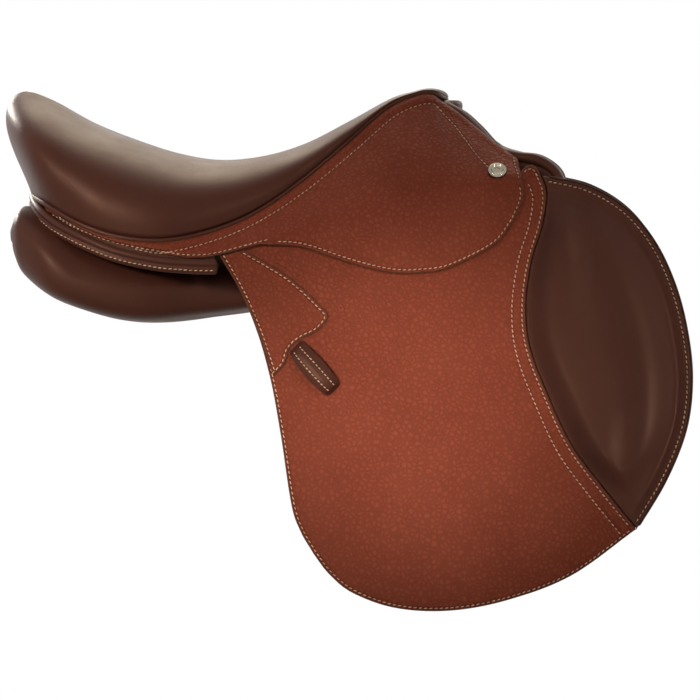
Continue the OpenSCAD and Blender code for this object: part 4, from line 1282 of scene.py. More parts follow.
    def build_belly(self, looks: Finishes) -> None:
        """Builds and places the lower skirts, flush with the skirts at the bend line."""
        top, base, front = (FORM.placed(e) for e in (self.belly_top, self.belly_base, self.belly_front))
        at = patch(top, base, np.stack([top[0], base[0]]), front)
        line = np.vstack([curve(base, np.linspace(0.05, 1.0, 200)),
                          curve(front, np.linspace(1.0, 0.16, 60))[1:]])
        row = side_row(inset_line(spaced(line, ROW_STEP), np.array(self.belly_middle), self.belly_inset), 0.0)
        v = np.unique(np.concatenate([np.linspace(0, 0.8, 26), np.linspace(0.8, 1.0, 22), [0.997]]).round(5))
        sheet = Sheet("skirt_belly", lambda a, b: FORM.on_side(at(a, b), 0.0), stops(225.0, 3.0), v,
                      FORM.skirt_t, (Rim.BASE, Rim.BACK, Rim.FRONT), [row])
        hand_over_pair(sheet.build(looks.grained), "belly_leather", Carrier.BELLY,
                       ["skirt_belly"])
        sew_pair("belly_stitches", [row], looks, Carrier.BELLY)


# The flaps


@dataclass
class Flap:
    """Flap with its wear patch, keeper, knee pad and lining."""

    top: Pairs = ((-0.008, -0.007), (0.15, -0.008), (0.28, -0.004), (0.322, 0.07), (0.37, 0.105),
                  (0.48, 0.112), (0.57, 0.105), (0.602, 0.07), (0.62, 0.022), (0.628, -0.012),
                  (0.638, -0.027), (0.656, -0.029), (0.669, -0.012))
    back: Pairs = ((-0.008, -0.007), (0.042, 0.103), (0.081, 0.22), (0.111, 0.348), (0.134, 0.49),
                   (0.157, 0.655), (0.177, 0.726), (0.206, 0.79))
    base: Pairs = ((0.206, 0.79), (0.238, 0.846), (0.288, 0.905), (0.378, 0.966), (0.49, 1.003),
                   (0.61, 1.011), (0.742, 0.989), (0.876, 0.916))
    seam: Pairs = ((0.669, -0.012), (0.685, 0.05), (0.677, 0.125), (0.654, 0.21), (0.643, 0.315),
                   (0.653, 0.42), (0.695, 0.557), (0.74, 0.677), (0.803, 0.793), (0.876, 0.916))
    knee_edge: Pairs = ((0.686, 0.008), (0.777, 0.06), (0.857, 0.139), (0.915, 0.236), (0.956, 0.348),
                        (0.981, 0.464), (0.992, 0.586), (0.98, 0.705), (0.938, 0.816), (0.876, 0.918))
    lining_top: Pairs = ((0.004, 0.016), (0.15, 0.016), (0.28, 0.02), (0.322, 0.08), (0.37, 0.115),
                         (0.48, 0.122), (0.57, 0.115), (0.612, 0.07), (0.665, 0.012))
    lining_back: Pairs = ((0.004, 0.016), (0.05, 0.11), (0.089, 0.225), (0.118, 0.35), (0.141, 0.49),
                          (0.165, 0.65), (0.216, 0.802))
    lining_base: Pairs = ((0.216, 0.802), (0.282, 0.888), (0.382, 0.956), (0.49, 0.992), (0.61, 1.0),
                          (0.735, 0.976), (0.875, 0.913))
    lining_front: Pairs = ((0.665, 0.012), (0.768, 0.068), (0.847, 0.146), (0.905, 0.241), (0.946, 0.351),
                           (0.971, 0.465), (0.982, 0.584), (0.971, 0.697), (0.93, 0.806), (0.875, 0.913))
    wear_top: Pairs = ((-0.001, 0.003), (0.025, 0.002), (0.05, 0.004))
    wear_back: Pairs = ((-0.001, 0.003), (0.046, 0.11), (0.084, 0.22), (0.115, 0.332))
    wear_base: Pairs = ((0.115, 0.332), (0.136, 0.313), (0.143, 0.296), (0.146, 0.28), (0.158, 0.266),
                        (0.175, 0.257), (0.205, 0.25))
    wear_front: Pairs = ((0.05, 0.004), (0.143, 0.096), (0.207, 0.18), (0.229, 0.22), (0.205, 0.25))
    keeper_ends: Pairs = ((0.16, 0.272), (0.246, 0.406))
    patch_t: float = 1.6
    keeper_lift: float = 9.0
    keeper_w: float = 16.0
    keeper_t: float = 2.6
    knee_bulge: float = 15.0
    knee_margin: float = 11.0
    knee_sink: float = 0.5
    knee_share: float = 0.93
    knee_front_over: float = 28.0
    knee_seam_over: float = 22.0
    knee_round: float = 0.75
    knee_dish: Point = (0.2, 0.5, 0.2)
    knee_ends: Point = (12.0, 45.0, 55.0)
    knee_crease: Point = (1.3, 2.6, 40.0)
    keeper_waist: Pair = (1.06, 0.24)
    keeper_crown: Pair = (4.2, 3.0)
    keeper_toe: Point = (3.6, 0.86, 0.14)
    keeper_rows: Pair = (0.3, 0.7)
    keeper_pitch: float = 3.6
    knee_tall: float = 330.0
    outer_inset: float = 2.3
    near_inset: float = 2.7
    far_inset: float = 11.0
    knee_inset: float = 3.7
    wear_inset: float = 2.4

    def build(self, looks: Finishes) -> None:
        """Builds and places everything that moves with the flap."""
        self.build_flap(looks)
        self.build_patch(looks)
        self.build_keeper(looks)
        self.build_knee(looks)
        self.build_lining(looks)

    def side_sheet(self, name: str, edges: Sequence[Any], depth: float, thick: float, u: Array, v: Array,
                   rows: Sequence[Row] = ()) -> Sheet:
        """Sheet on the hanging surface.

        Args:
            name: name of the piece.
            edges: top, bottom, back and front edges as shares.
            depth: depth of its face.
            thick: its thickness.
            u: shares of its columns.
            v: shares of its rows.
            rows: stitch rows on it.

        Returns:
            The sheet.
        """
        at = patch(*(FORM.placed(e) for e in edges))
        return Sheet(name, lambda a, b: FORM.on_side(at(a, b), depth), u, v, thick, tuple(Rim), list(rows))

    def flap_rows(self) -> list[Row]:
        """Stitch rows of the flap: round its back and bottom, and two along the knee seam."""
        t = np.linspace(0.0, 1.0, 400)
        outline = np.vstack([FORM.line(self.back, np.linspace(0.035, 1.0, 300)),
                             FORM.line(self.base, t[1:-4])])
        seam = FORM.line(self.seam, t)
        corner = FORM.line(self.top, np.linspace(0.79, 1.0, 60))
        middle = np.array([60.0, 180.0])
        lines = ((outline, self.outer_inset), (np.vstack([corner, seam[4:-6]]), self.near_inset),
                 (seam[10:-5], self.far_inset))
        return [side_row(inset_line(spaced(q, ROW_STEP), middle, inset), FORM.flap_depth)
                for q, inset in lines]

    def build_flap(self, looks: Finishes) -> None:
        """Builds and places the flap leather and its stitches."""
        rows = self.flap_rows()
        marks = (*EDGE_MARKS, 9.0, 10.0, 10.8, 11.5, 12.2, 13.0, 14.0)
        sheet = self.side_sheet("flap", (self.top, self.base, self.back, self.seam), FORM.flap_depth,
                                FORM.flap_t, stops(262.0, 3.4, EDGE_MARKS, marks), stops(300.0, 3.4), rows)
        hand_over_pair(sheet.build(looks.grained), "flap_leather", Carrier.FLAP, ["flap"])
        sew_pair("flap_stitches", rows, looks, Carrier.FLAP)

    def build_patch(self, looks: Finishes) -> None:
        """Builds and places the wear patch, notched round the keeper."""
        depth = FORM.flap_depth - FORM.gap - self.patch_t
        t = np.linspace(0.0, 1.0, 120)
        line = np.vstack([FORM.line(self.wear_front, t), FORM.line(self.wear_base, t[::-1])[1:]])
        rear = FORM.line(self.wear_back, np.linspace(0.01, 0.97, 120))
        middle = np.array([-50.0, 60.0])
        rows = [side_row(inset_line(spaced(q, ROW_STEP), middle, self.wear_inset), depth)
                for q in (line, rear)]
        sheet = self.side_sheet("patch", (self.wear_top, self.wear_base, self.wear_back, self.wear_front),
                                depth, self.patch_t, stops(52.0, 2.0), stops(105.0, 2.0), rows)
        sheet.radius = 0.8
        hand_over_pair(sheet.build(looks.grained), "wear_patch", Carrier.FLAP,
                       ["flap_patch"])
        sew_pair("patch_stitches", rows, looks, Carrier.FLAP)

    def keeper_place(self, u: Array, v: Array) -> Array:
        """Points of the keeper's outer face."""
        a, b = FORM.placed(self.keeper_ends)
        way = unit(b - a)
        beside = np.array([way[1], -way[0]])
        out = 2 * v - 1
        drawn = self.keeper_waist[0] - self.keeper_waist[1] * out**2
        q = mix(a, b, column(v)) + beside * column((u - 0.5) * self.keeper_w * drawn)
        seat = mix(self.patch_t + FORM.gap, 0.0, v) + FORM.gap
        arch = self.keeper_lift * (1.0 - np.abs(out) ** 4)
        crown = self.keeper_crown[0] * (1.0 - (2 * u - 1) ** 2) - self.keeper_crown[1]
        deep, start, over = self.keeper_toe
        sunk = deep * np.clip(np.abs(out) - start, 0.0, 1.0) / over
        return FORM.on_side(q, FORM.flap_depth - seat - arch - self.keeper_t - crown + sunk)

    def build_keeper(self, looks: Finishes) -> None:
        """Builds and places the keeper strap with its two rows of stitches."""
        v = np.linspace(0.06, 0.93, 60)
        rows = []
        for u in self.keeper_rows:
            p = self.keeper_place(np.full_like(v, u), v)
            aside = self.keeper_place(np.full_like(v, u + 0.05), v) - p
            out = unit(np.cross(np.gradient(p, axis=0), aside))
            rows.append(Row(p, -out if out[30, 1] > 0 else out, self.keeper_pitch))
        marks = EDGE_MARKS[:7]
        sheet = Sheet("keeper", self.keeper_place, stops(self.keeper_w, 0.8, marks, marks),
                      np.linspace(0.0, 1.0, 60), self.keeper_t, tuple(Rim), rows, 1.2)
        hand_over_pair(sheet.build(looks.calf), "keeper_strap", Carrier.FLAP, ["keeper"])
        sew_pair("keeper_stitches", rows, looks, Carrier.FLAP)

    def knee_flat(self, u: Array, v: Array) -> Array:
        """Place and drop of the knee pad's points, from the flap's seam to the pad's front edge."""
        a = FORM.line(self.seam, mix(0.03, 0.995, v)) + [1.0, 0.0]
        return mix(a, FORM.line(self.knee_edge, v), column(u))

    def knee_rise(self, u: Array, v: Array) -> Array:
        """How far the knee pad swells at u, v."""
        wide = np.linalg.norm(self.knee_flat(0 * u + 1, v) - self.knee_flat(0 * u, v), axis=-1)
        rim = nearest(np.column_stack([self.knee_flat(u, v), 0 * u]), np.column_stack(
            [self.knee_flat(np.ones(500), np.linspace(0, 1, 500)), np.zeros(500)]))
        front = ease((rim - self.knee_margin) / self.knee_front_over) ** self.knee_round
        body = front * ease((u * wide - 0.5) / self.knee_seam_over) ** self.knee_round
        deep, mid, over = self.knee_dish
        body = body * (1.0 - deep * np.exp(-(((u - mid) / over) ** 2)))
        start, high, low = self.knee_ends
        ends = ease((v * self.knee_tall - start) / high) * ease(((1 - v) * self.knee_tall - start) / low)
        deep, over, full = self.knee_crease
        crease = np.exp(-(((rim - self.knee_margin) / over) ** 2)) * np.clip(wide / full, 0.0, 1.0)
        return self.knee_bulge * body * ends - deep * crease

    def knee_place(self, u: Array, v: Array) -> Array:
        """Points of the knee pad's face."""
        depth = FORM.flap_depth + self.knee_sink - self.knee_rise(u, v) * self.knee_share
        return FORM.on_side(self.knee_flat(u, v), depth)

    def knee_held(self, pad: bpy.types.Object, edge: Array, seam: Array) -> Array:
        """Share by which each point of the knee pad is held.

        Args:
            pad: the knee pad.
            edge: rows of place and drop along its front edge.
            seam: rows of place and drop along the flap's seam.

        Returns:
            1 along the seams and on the back, 0 on the padded face.
        """
        x, y, z = np.array([p.co for p in pad.data.vertices]).T / MM
        drop = FORM.bend(x, 2) - z
        back = FORM.flap_depth - (y + FORM.side_half(x, drop)) < -1.2
        rim, sewn = (nearest(np.column_stack([x, drop, 0 * x]), np.column_stack([q, 0 * q[:, 0]]))
                     for q in (edge, seam))
        return np.where(back | (rim < self.knee_margin + 2) | (sewn < 6.0), 1.0, 0.0)

    def build_knee(self, looks: Finishes) -> None:
        """Builds and places the knee pad, its bound edge and its stitches."""
        v = np.linspace(0.0, 1.0, 400)
        edge, seam = self.knee_flat(0 * v + 1, v), self.knee_flat(0 * v, v)
        row = side_row(inset_line(spaced(edge[3:-5], ROW_STEP), np.array([200.0, 160.0]), self.knee_inset),
                       FORM.flap_depth + self.knee_sink)
        marks = (*EDGE_MARKS[:9], 5.2, 6.0, 8.0, 10.0, 12.0, 13.0, 14.0, 15.0, 17.0)
        sheet = Sheet("knee_pad", self.knee_place, stops(120.0, 2.6, EDGE_MARKS, marks),
                      stops(self.knee_tall, 2.8), FORM.flap_t, tuple(Rim), [row])
        pad = sheet.build(looks.calf)
        inflate(pad, self.knee_held(pad, edge, seam), 1.2, 1.6)
        hand_over_pair(pad, "knee_pad_leather", Carrier.FLAP, ["knee_pad"])
        sew_pair("knee_stitches", [row], looks, Carrier.FLAP)
        line = FORM.on_side(edge[2:-2:2], FORM.flap_depth + FORM.flap_t / 2 + 0.3)
        bound = tube("knee_binding", line, oval(1.1, 1.9, 2.4, 10), looks.bridle, dome=2.0, level=False)
        hand_over_pair(bound, "knee_binding", Carrier.FLAP)

    def build_lining(self, looks: Finishes) -> None:
        """Builds and places the lining behind flap and knee pad."""
        edges = (self.lining_top, self.lining_base, self.lining_back, self.lining_front)
        sheet = self.side_sheet("lining", edges, FORM.lining_depth, FORM.lining_t, stops(270.0, 7.0),
                                stops(300.0, 7.0))
        sheet.radius = 0.9
        hand_over_pair(sheet.build(looks.bridle), "flap_lining_leather", Carrier.FLAP,
                       ["flap_lining"])


# Panels and facings


@dataclass
class Panels:
    """The stuffed panels, the cantle facing, the pommel facing and the gullet lining."""

    run: Numbers = (0.036, 0.044, 0.064, 0.122, 0.19, 0.265, 0.34, 0.456, 0.595, 0.781, 0.944, 1.03, 1.06)
    out: Numbers = (0.68, 0.74, 0.82, 0.95, 0.985, 0.98, 0.955, 0.87, 0.85, 0.85, 0.8, 0.72, 0.62)
    inner: Numbers = (1.5, 1.34, 1.15, 1, 1, 1, 1, 1, 1, 1, 1, 1, 1.05)
    top: Numbers = (1.2, 1.32, 1.37, 1.2, 0.94, 0.79, 0.72, 0.72, 0.74, 0.9, 1.06, 1.12, 1.02)
    low: Numbers = (0.95, 0.75, 0.53, 0.27, 0.1, -0.03, -0.055, 0.02, 0.12, 0.17, 0.25, 0.36, 0.5)
    hug: Numbers = (0, 0, 0, 0, 0, 0, 0.15, 0.8, 1, 1, 1, 1, 1)
    panel_half: float = 141.0
    channel_half: float = 38.0
    panel_h: float = 66.0
    lean: float = 0.2
    power: float = 2.7
    facing_run: Numbers = (0.458, 0.41, 0.34, 0.26, 0.188, 0.13, 0.09, 0.064, 0.056)
    facing_half: Numbers = (1.007, 1.014, 1.01, 0.985, 0.91, 0.79, 0.622, 0.335, 0.0)
    facing_rise: Numbers = (0.8, 0.805, 0.85, 0.985, 1.21, 1.44, 1.66, 1.84, 1.9)
    facing_w: float = 8.0
    facing_h: float = 12.4
    facing_roll: Point = (0.92, 0.42, 0.55)
    facing_strip: Pairs = ((-0.6, 0.0), (-0.8, -0.2), (-0.86, -0.8), (-0.6, -1.0), (0.6, -1.0), (0.9, -0.8),
                           (0.84, -0.2), (0.62, 0.0))
    facing_row: Pair = (0.87, 0.5)
    flange_in: float = 5.0
    roll_foot: tuple[Point, ...] = ((1.112, 0.82, 0.555), (1.1, 0.77, 0.625), (1.066, 0.72, 0.676),
                                    (1.026, 0.655, 0.69))
    foot_line: tuple[Point, ...] = ((1.1, 0.79, 0.55), (1.075, 0.74, 0.605), (1.03, 0.68, 0.63),
                                    (0.985, 0.62, 0.66))
    foot_h: float = 17.0
    roll_ahead: float = 4.0
    roll_in: float = 8.0
    roll_drop: float = 7.0
    roll_proud: Numbers = (-2.2, 0.4, 1.8, 1.5)
    roll_top: tuple[Point, ...] = ((0.897, 0.12, 0.918), (0.902, 0.0, 0.918))
    roll_w: float = 11.0
    roll_h: float = 10.0
    head_run: Numbers = (0.935, 0.922, 0.903, 0.89, 0.886)
    head_half: Numbers = (0.71, 0.585, 0.417, 0.21, 0.0)
    head_rise: Numbers = (0.497, 0.618, 0.73, 0.8, 0.815)
    head_w: float = 30.0
    head_t: float = 14.0
    plate_t: float = 3.0
    gullet_t: float = 2.4
    end_reach: Pair = (2.0, 6.0)
    skin_t: float = 1.2
    hub: Point = (-60.0, 0.0, 60.0)

    def panel_place(self, t: Array, turn: Array) -> Array:
        """Points of the right panel.

        Args:
            t: places along the panel; values outside 0 to 1 lie on its round ends.
            turn: places round the panel, from 0 to 1.

        Returns:
            Rows of points.
        """
        s = np.clip(t, 0.0, 1.0)
        past = np.where(t < 0, t, np.where(t > 1, t - 1, 0.0))
        size = np.sqrt(np.maximum(0.0, 1.0 - np.abs(past) ** 2))
        x = FORM.run(curve(self.run, s))
        top, low = curve(self.top, s) * self.panel_h, curve(self.low, s) * self.panel_h
        inner, hug = curve(self.inner, s) * self.channel_half, curve(self.hug, s)
        wide, z = curve(self.out, s) * self.panel_half, (top + low) / 2
        depth = FORM.sweat_depth + FORM.sweat_t + 2 * FORM.gap
        wall = FORM.side_half(x, FORM.bend(x, 2) - z)
        outer = mix(wide, np.minimum(wide, wall - depth), hug)
        half, mid = (outer - inner) / 2, (inner + outer) / 2
        c, sn = np.cos(2 * np.pi * turn), np.sin(2 * np.pi * turn)
        a = half * np.sign(c) * np.abs(c) ** (2 / self.power) * size
        b = (top - low) / 2 * np.sign(sn) * np.abs(sn) ** (2 / self.power) * size
        up = b + self.lean * a
        follow = hug * (half - a) / (2 * half)
        y = -mid + a - follow * (FORM.side_half(x, FORM.bend(x, 2) - z - up) - wall)
        return np.stack([x + past * np.where(t < 0, *self.end_reach), y, z + up], axis=1)

    def build_panels(self, looks: Finishes) -> None:
        """Builds, stuffs and places the panels."""
        ends = np.sin(np.linspace(0.0, np.pi / 2, 9))
        t = np.concatenate([-ends[:0:-1], np.linspace(0.0, 1.0, 92), 1.0 + ends[1:]])
        bm = bmesh.new()
        verts, _, u, v = lattice(bm, t, np.linspace(0.0, 1.0, 65))
        move_to(verts, self.panel_place(u, np.where(v >= 1.0, 0.0, v)))
        close_up(bm)
        panel = build_mesh("panel", bm, looks.calf)
        shrink = np.array([p.co - p.normal * self.skin_t * MM for p in panel.data.vertices])
        panel.data.vertices.foreach_set("co", shrink.ravel())
        inflate(panel, np.zeros(len(panel.data.vertices)), 2.5, 2.2)
        hand_over_pair(panel, "panel_leather", Carrier.SADDLE, ["panel"])

    def bow(self, p: Array, n: int) -> Array:
        """Smooth line through right-hand points and on across the saddle, n points a side."""
        return whole(curve(p, np.linspace(0.0, 1.0, n), None, across(p[-2])))

    def build_cantle(self, looks: Finishes) -> None:
        """Builds and places the cantle facing: a round roll above a flat stitched strip."""
        path = self.bow(FORM.at_back(self.facing_run, self.facing_half, self.facing_rise), 130)
        a, h = self.facing_w / 2, self.facing_h / 2
        turn = np.linspace(-0.25 * np.pi, 1.25 * np.pi, 15)
        wide, up, tall = self.facing_roll
        roll = np.stack([wide * a * np.cos(turn), h * up + h * tall * np.sin(turn)], axis=1)
        section = np.vstack([roll, np.array(self.facing_strip) * [a, h]])
        facing = tube("cantle_binding", path, section, looks.calf, dome=3.0)
        hand_over(facing, "saddle", ["cantle_facing"])
        inside = path + unit((np.array(self.hub) - path) * [1, 1, 0]) * self.flange_in + UP * h
        flange = tube("cantle_flange", inside[4:-4], oval(1.0, 7.0, 4.0, 12), looks.calf)
        hand_over(flange, "saddle")
        out = -unit(np.cross(UP, unit(np.gradient(path, axis=0))))
        out = out * column(np.sign(np.sum(out * (path - self.hub), axis=1)))
        line = path + out * (a * self.facing_row[0]) + UP * (-h * self.facing_row[1])
        hand_over(sew("cantle_stitches", [Row(line[3:-3], out[3:-3])], looks.thread), "saddle")

    def build_pommel(self, skirt: Skirt, looks: Finishes) -> None:
        """Builds and places the pommel facing, a roll along the fronts of the skirts, and the gullet lining.

        Args:
            skirt: the skirts, whose fronts the roll follows.
            looks: the finishes.
        """
        front = FORM.at_front(skirt.front_run, skirt.front_half, skirt.front_rise)[3::-1]
        proud = column(self.roll_proud)
        rise = front + [self.roll_ahead, self.roll_in, -self.roll_drop] + proud * [0.6, 0.0, 0.8]
        p = np.vstack([FORM.at_front(*zip(*self.roll_foot)), rise, FORM.at_front(*zip(*self.roll_top))])
        section = oval(self.roll_w / 2, self.roll_h / 2, 2.6, 20)
        roll = tube("pommel_roll", self.bow(p, 110), section, looks.calf, dome=5.0)
        hand_over(roll, "saddle", ["pommel_facing"])
        foot = curve(FORM.at_front(*zip(*self.foot_line)), np.linspace(0.0, 1.0, 40))
        pad = tube("pommel_foot", foot, oval(self.roll_w / 2, self.foot_h / 2, 2.6, 20), looks.calf, dome=5.0)
        hand_over_pair(pad, "pommel_foot", Carrier.SADDLE)
        arch = self.bow(FORM.at_front(self.head_run, self.head_half, self.head_rise), 40)
        t = unit(np.gradient(arch, axis=0))
        down = unit(np.cross(t, unit(np.cross(t, UP))))
        down = down * column(np.where(down[:, 2] > 0, -1.0, 1.0))
        arch = arch + down * (self.head_t / 2 + 2 * FORM.gap + self.plate_t + self.gullet_t / 2)
        lining = tube("gullet_leather", arch, oval(self.head_w / 2, self.gullet_t / 2, 5.0, 24), looks.bridle)
        hand_over(lining, "saddle", ["gullet_lining"])


# Under the flaps


def slab(name: str, loop: Sequence[Pair], ends: Pair, corner: float,
         material: bpy.types.Material) -> bpy.types.Object:
    """Flat piece on the saddle's right side, from the closed line of its cross-section.

    Args:
        name: name of the piece.
        loop: rows of depth and drop round the cross-section.
        ends: where the piece starts and ends along the saddle.
        corner: radius of its lower corners.
        material: its finish.

    Returns:
        The piece.
    """
    line = np.array([*loop, loop[0]])
    bm = bmesh.new()
    verts, _, u, v = lattice(bm, np.linspace(0.0, 1.0, 29), np.linspace(0.0, 1.0, len(line)))
    depth, drop = line[np.rint(v * (len(line) - 1)).astype(int)].T
    past = np.clip((drop - line[:, 1].max() + corner) / corner, 0.0, 1.0)
    inset = corner * (1.0 - np.sqrt(1.0 - past**2))
    x = mix(ends[0] + inset, ends[1] - inset, u)
    move_to(verts, FORM.on_side(np.stack([x, drop], axis=1), depth))
    bmesh.ops.remove_doubles(bm, verts=bm.verts[:], dist=LOOSE_M)
    bmesh.ops.holes_fill(bm, edges=[e for e in bm.edges if e.is_boundary])
    close_up(bm)
    return build_mesh(name, bm, material)


@dataclass
class UnderFlap:
    """Sweat flap with its knee block, and the girth web with the guard over the strap tops."""

    sweat_top: Pairs = ((0.085, 0.115), (0.3, 0.115), (0.5, 0.115), (0.68, 0.115))
    sweat_back: Pairs = ((0.085, 0.115), (0.13, 0.27), (0.165, 0.45), (0.19, 0.63), (0.245, 0.78))
    sweat_base: Pairs = ((0.245, 0.78), (0.32, 0.87), (0.44, 0.93), (0.59, 0.945), (0.74, 0.915),
                         (0.835, 0.855))
    sweat_front: Pairs = ((0.68, 0.115), (0.765, 0.21), (0.835, 0.345), (0.875, 0.49), (0.89, 0.61),
                          (0.875, 0.745), (0.835, 0.855))
    block_back: Pairs = ((0.69, 0.17), (0.745, 0.32), (0.775, 0.48), (0.785, 0.62))
    block_front: Pairs = ((0.72, 0.165), (0.815, 0.32), (0.855, 0.48), (0.865, 0.62))
    block_h: float = 11.0
    web_ends: Pair = (-8.5, 104.5)
    web_drops: Pair = (40.0, 70.0)
    web_depths: Pair = (27.3, 29.7)
    pad_ends: Pair = (39.0, 57.0)
    pad_drops: Pair = (45.0, 64.5)
    pad_depths: Pair = (19.7, 27.2)
    guard_depth: float = 11.7
    guard_t: float = 2.0
    guard_drops: Pair = (41.2, 108.0)
    guard_fold: float = 3.0
    guard_corner: float = 14.0
    guard_inset: float = 4.0
    guard_marks: Numbers = (56.0, 70.0, 84.0, 94.0, 97.0, 100.0, 103.0, 105.0)
    sweat_inset: float = 3.6
    block_foot: float = 0.25

    def block_loop(self, depths: Pair, drops: Pair) -> list[Pair]:
        """Cross-section of a flat block with eased edges."""
        (a, b), (c, d), e = depths, drops, 0.5
        mid = mix(c, d, 0.5)
        return [(a, c + e), (a, mid), (a, d - e), (a + e, d), (b - e, d), (b, d - e), (b, mid), (b, c + e),
                (b - e, c), (a + e, c)]

    def build_web(self, looks: Finishes) -> None:
        """Builds and places the girth web with its doubled pad, and the guard over the strap tops."""
        for stem, depths, drops, ends, nodes in (
                ("girth_webbing", self.web_depths, self.web_drops, self.web_ends, ["girth_web"]),
                ("girth_pad", self.pad_depths, self.pad_drops, self.pad_ends, [])):
            block = slab(stem, self.block_loop(depths, drops), ends, 1.0, looks.web)
            hand_over_pair(block, stem, Carrier.SADDLE, nodes)
        d, t, (high, low) = self.guard_depth, self.guard_t, self.guard_drops
        fold, back = high + self.guard_fold, self.web_depths[0] - FORM.gap
        face = [high + 1.4, *self.guard_marks, low - 1.0]
        inside = [low - 1.0, *self.guard_marks[::-1], fold + 1.2]
        loop = [(d + 0.5, high + 0.3), *((d, z) for z in face), (d + 0.3, low - 0.3), (d + t / 2, low),
                (d + t - 0.3, low - 0.3), *((d + t, z) for z in inside), (d + t + 1.0, fold), (back, fold),
                (back, high), (d + 1.4, high)]
        guard = slab("guard", loop, self.web_ends, self.guard_corner, looks.bridle)
        hand_over_pair(guard, "buckle_guard_leather", Carrier.SADDLE, ["buckle_guard"])
        turn = np.linspace(0.0, np.pi / 2, 9)
        g = self.guard_inset
        r, (start, end) = self.guard_corner - g, np.array(self.web_ends) + [g, -g]
        bend = np.stack([r - r * np.cos(turn), r * np.sin(turn)], axis=1)
        left = np.array([start, low - g - r]) + bend
        right = (np.array([end, low - g - r]) + bend * [-1.0, 1.0])[::-1]
        edge = np.vstack([[start, high + 5.0], left, right, [end, high + 5.0]])
        sew_pair("guard_stitches", [side_row(spaced(edge, ROW_STEP), d)], looks, Carrier.SADDLE)

    def block_place(self, u: Array, v: Array) -> Array:
        """Points of the knee block's face."""
        q = mix(FORM.line(self.block_back, v), FORM.line(self.block_front, v), column(u))
        swell = np.maximum(0.0, np.sin(np.pi * u) * np.sin(np.pi * v)) ** 0.6
        lift = self.block_foot + (1.0 - self.block_foot) * swell
        return FORM.on_side(q, FORM.sweat_depth - FORM.gap - self.block_h * lift)

    def build(self, flap: Flap, looks: Finishes) -> None:
        """Builds and places the sweat flap and its knee block, the girth web and the guard.

        Args:
            flap: the flap, which makes the sheets on the hanging surface.
            looks: the finishes.
        """
        self.build_web(looks)
        t = np.linspace(0.0, 1.0, 300)
        outline = np.vstack([FORM.line(self.sweat_back, t), FORM.line(self.sweat_base, t)[1:],
                             FORM.line(self.sweat_front, t[::-1])[1:]])
        inset = inset_line(spaced(outline, ROW_STEP), np.array([100.0, 170.0]), self.sweat_inset)
        row = side_row(inset, FORM.sweat_depth)
        sheet = flap.side_sheet("sweat", (self.sweat_top, self.sweat_base, self.sweat_back, self.sweat_front),
                                FORM.sweat_depth, FORM.sweat_t, stops(270.0, 6.0), stops(260.0, 6.0), [row])
        hand_over_pair(sheet.build(looks.bridle), "sweat_flap_leather", Carrier.SADDLE,
                       ["sweat_flap"])
        sew_pair("sweat_stitches", [row], looks, Carrier.SADDLE)
        block = Sheet("knee_block", self.block_place, np.linspace(0.0, 1.0, 22), np.linspace(0.0, 1.0, 60),
                      self.block_h * self.block_foot - 0.2, tuple(Rim), [], 2.4)
        hand_over_pair(block.build(looks.calf), "knee_block_leather", Carrier.SADDLE,
                       ["knee_block"])


class SolidParts:
    """The tree, steel and straps, which keep their solids and take their finishes here."""

    def dress(self, looks: Finishes) -> None:
        """Gives each kept solid its finish."""
        table = {"tree_frame": looks.wood, "tree_head": looks.wood, "gullet_plate": looks.steel,
                 "tree_springs": looks.steel, "bar_rivets": looks.steel, "catch_pins": looks.steel,
                 "seat_webs": looks.web}
        for side in Side:
            s = side.value
            table |= {f"stirrup_bar_{s}": looks.steel, f"bar_catch_{s}": looks.steel}
            table |= {f"billet_{s}_{k}": looks.bridle for k in ("front", "middle", "rear")}
        for name, material in table.items():
            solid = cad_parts[name]
            solid.data.materials.clear()
            solid.data.materials.append(material)
            LOG.info("%s dressed in %s", name, material.name)


# Floor, light and camera


@dataclass(frozen=True)
class Lamp:
    """A soft round lamp, or a spot lamp with a soft edge where it has a beam."""

    name: str
    at: Point
    to: Point
    width: float
    watts: float
    colour: Colour = WARM
    beam: Optional[float] = None

    def hang(self) -> None:
        """Adds the lamp to the scene, unseen by the camera."""
        data = bpy.data.lights.new(self.name, "AREA" if self.beam is None else "SPOT")
        if self.beam is None:
            data.shape, data.size = "DISK", self.width
        else:
            data.spot_size, data.spot_blend, data.shadow_soft_size = math.radians(self.beam), 1.0, self.width
        data.energy, data.color = self.watts, self.colour
        obj = bpy.data.objects.new(self.name, data)
        obj.location = self.at
        obj.rotation_euler = (Vector(self.to) - Vector(self.at)).to_track_quat("-Z", "Y").to_euler()
        obj.visible_camera = False
        bpy.context.scene.collection.objects.link(obj)


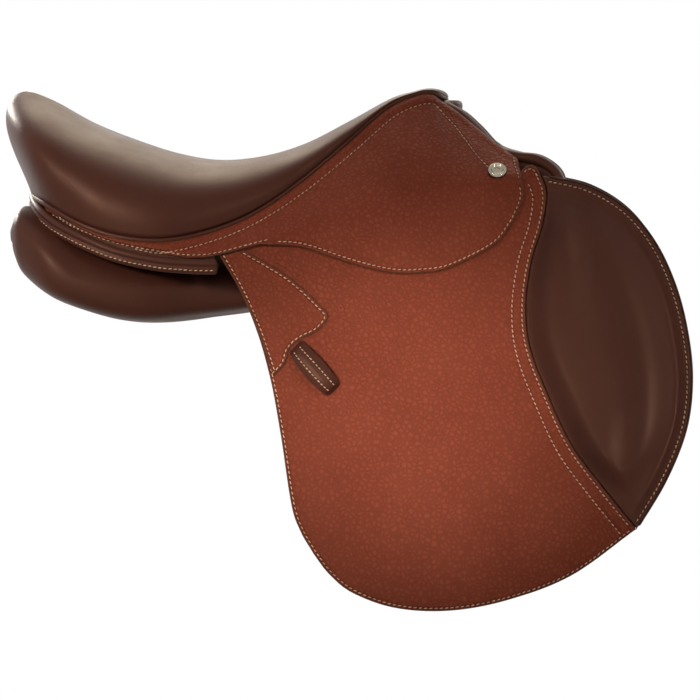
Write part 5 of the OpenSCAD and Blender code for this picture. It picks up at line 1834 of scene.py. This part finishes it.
@dataclass
class Studio:
    """Pale floor, soft lamps, white surroundings and the camera."""

    azimuth: float = 4.0
    elevation: float = 2.5
    distance: float = 3.0
    lens: float = 178.1
    sensor: float = 36.0
    shift_y: float = -0.0571
    floor_z: float = -0.62
    floor_r: float = 1.45
    floor_fade: float = 0.55
    floor_glow: float = 0.74
    ambient: float = 0.06

    def floor(self) -> None:
        """Makes the floor, a pale disc that fades out at its rim."""
        bm = bmesh.new()
        bmesh.ops.create_circle(bm, cap_ends=True, segments=96, radius=self.floor_r,
                                matrix=Matrix.Translation((0.0, 0.0, self.floor_z)))
        material, tree, shader, where = new_material("pale_floor")
        x, y, _ = put(tree, "ShaderNodeSeparateXYZ", Vector=where).outputs
        square = [maths(tree, "MULTIPLY", k, k) for k in (x, y)]
        far = maths(tree, "SQRT", maths(tree, "ADD", *square))
        join(tree, shader, Base_Color=(0.86, 0.86, 0.85, 1.0), Roughness=0.9, Specular_IOR_Level=0.0,
             Emission_Color=WHITE,
             Emission_Strength=maths(tree, "MULTIPLY", seen_rays(tree), self.floor_glow),
             Alpha=spread(tree, far, self.floor_r * self.floor_fade, self.floor_r, 1.0, 0.0))
        build_mesh("floor", bm, material)

    def world(self) -> None:
        """White to the camera and in reflections, grey as ambient light."""
        world = bpy.data.worlds.new("studio")
        world.use_nodes = True
        tree = world.node_tree
        join(tree, tree.nodes["Background"], Color=WHITE,
             Strength=maths(tree, "MAXIMUM", seen_rays(tree), self.ambient))
        bpy.context.scene.world = world

    def camera(self) -> None:
        """Camera at the photograph's angle."""
        a, e = math.radians(self.azimuth), math.radians(self.elevation)
        back = Vector((math.sin(a) * math.cos(e), -math.cos(a) * math.cos(e), math.sin(e)))
        data = bpy.data.cameras.new("camera")
        data.lens, data.sensor_width, data.sensor_fit = self.lens, self.sensor, "HORIZONTAL"
        data.shift_y = self.shift_y
        obj = bpy.data.objects.new("camera", data)
        obj.location = back * self.distance
        obj.rotation_euler = (-back).to_track_quat("-Z", "Y").to_euler()
        bpy.context.scene.collection.objects.link(obj)
        bpy.context.scene.camera = obj

    def build(self) -> None:
        """Builds the studio."""
        self.floor()
        self.world()
        lamps = [Lamp("overhead", (-0.1, 1.2, 1.35), (-0.05, 0.0, 0.1), 1.3, 13.0, (1.0, 0.86, 0.62)),
                 Lamp("front", (-0.3, -3.0, 0.5), (0.05, -0.1, -0.05), 1.8, 6.0)]
        for side, w in ((Side.RIGHT, -1.0), (Side.LEFT, 1.0)):
            s = side.value
            lamps += [
                Lamp(f"rear_{s}", (-1.2, 1.6 * w, 0.7), (-0.21, 0.09 * w, 0.07), 0.22, 200.0, beam=14.0),
                Lamp(f"ahead_{s}", (1.2, 1.4 * w, 0.6), (0.22, 0.17 * w, -0.04), 0.22, 135.0, beam=13.0),
                Lamp(f"pool_{s}", (-0.3, 2.0 * w, 0.1), (0.05, 0.17 * w, -0.075), 0.05, 128.0, beam=11.0)]
        for lamp in lamps:
            lamp.hang()
        self.camera()
        bpy.context.scene.view_settings.view_transform = "Standard"


def main() -> None:
    """Builds the dressed saddle in order."""
    logging.basicConfig(level=logging.INFO, format="%(message)s")
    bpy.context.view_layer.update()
    looks = Finishes()
    Studio().build()
    SolidParts().dress(looks)
    seat = Seat()
    seat.build(looks)
    skirt = Skirt(seat)
    skirt.build(looks)
    flap = Flap()
    flap.build(looks)
    panels = Panels()
    panels.build_panels(looks)
    panels.build_cantle(looks)
    panels.build_pommel(skirt, looks)
    UnderFlap().build(flap, looks)


if __name__ == "__main__":
    main()
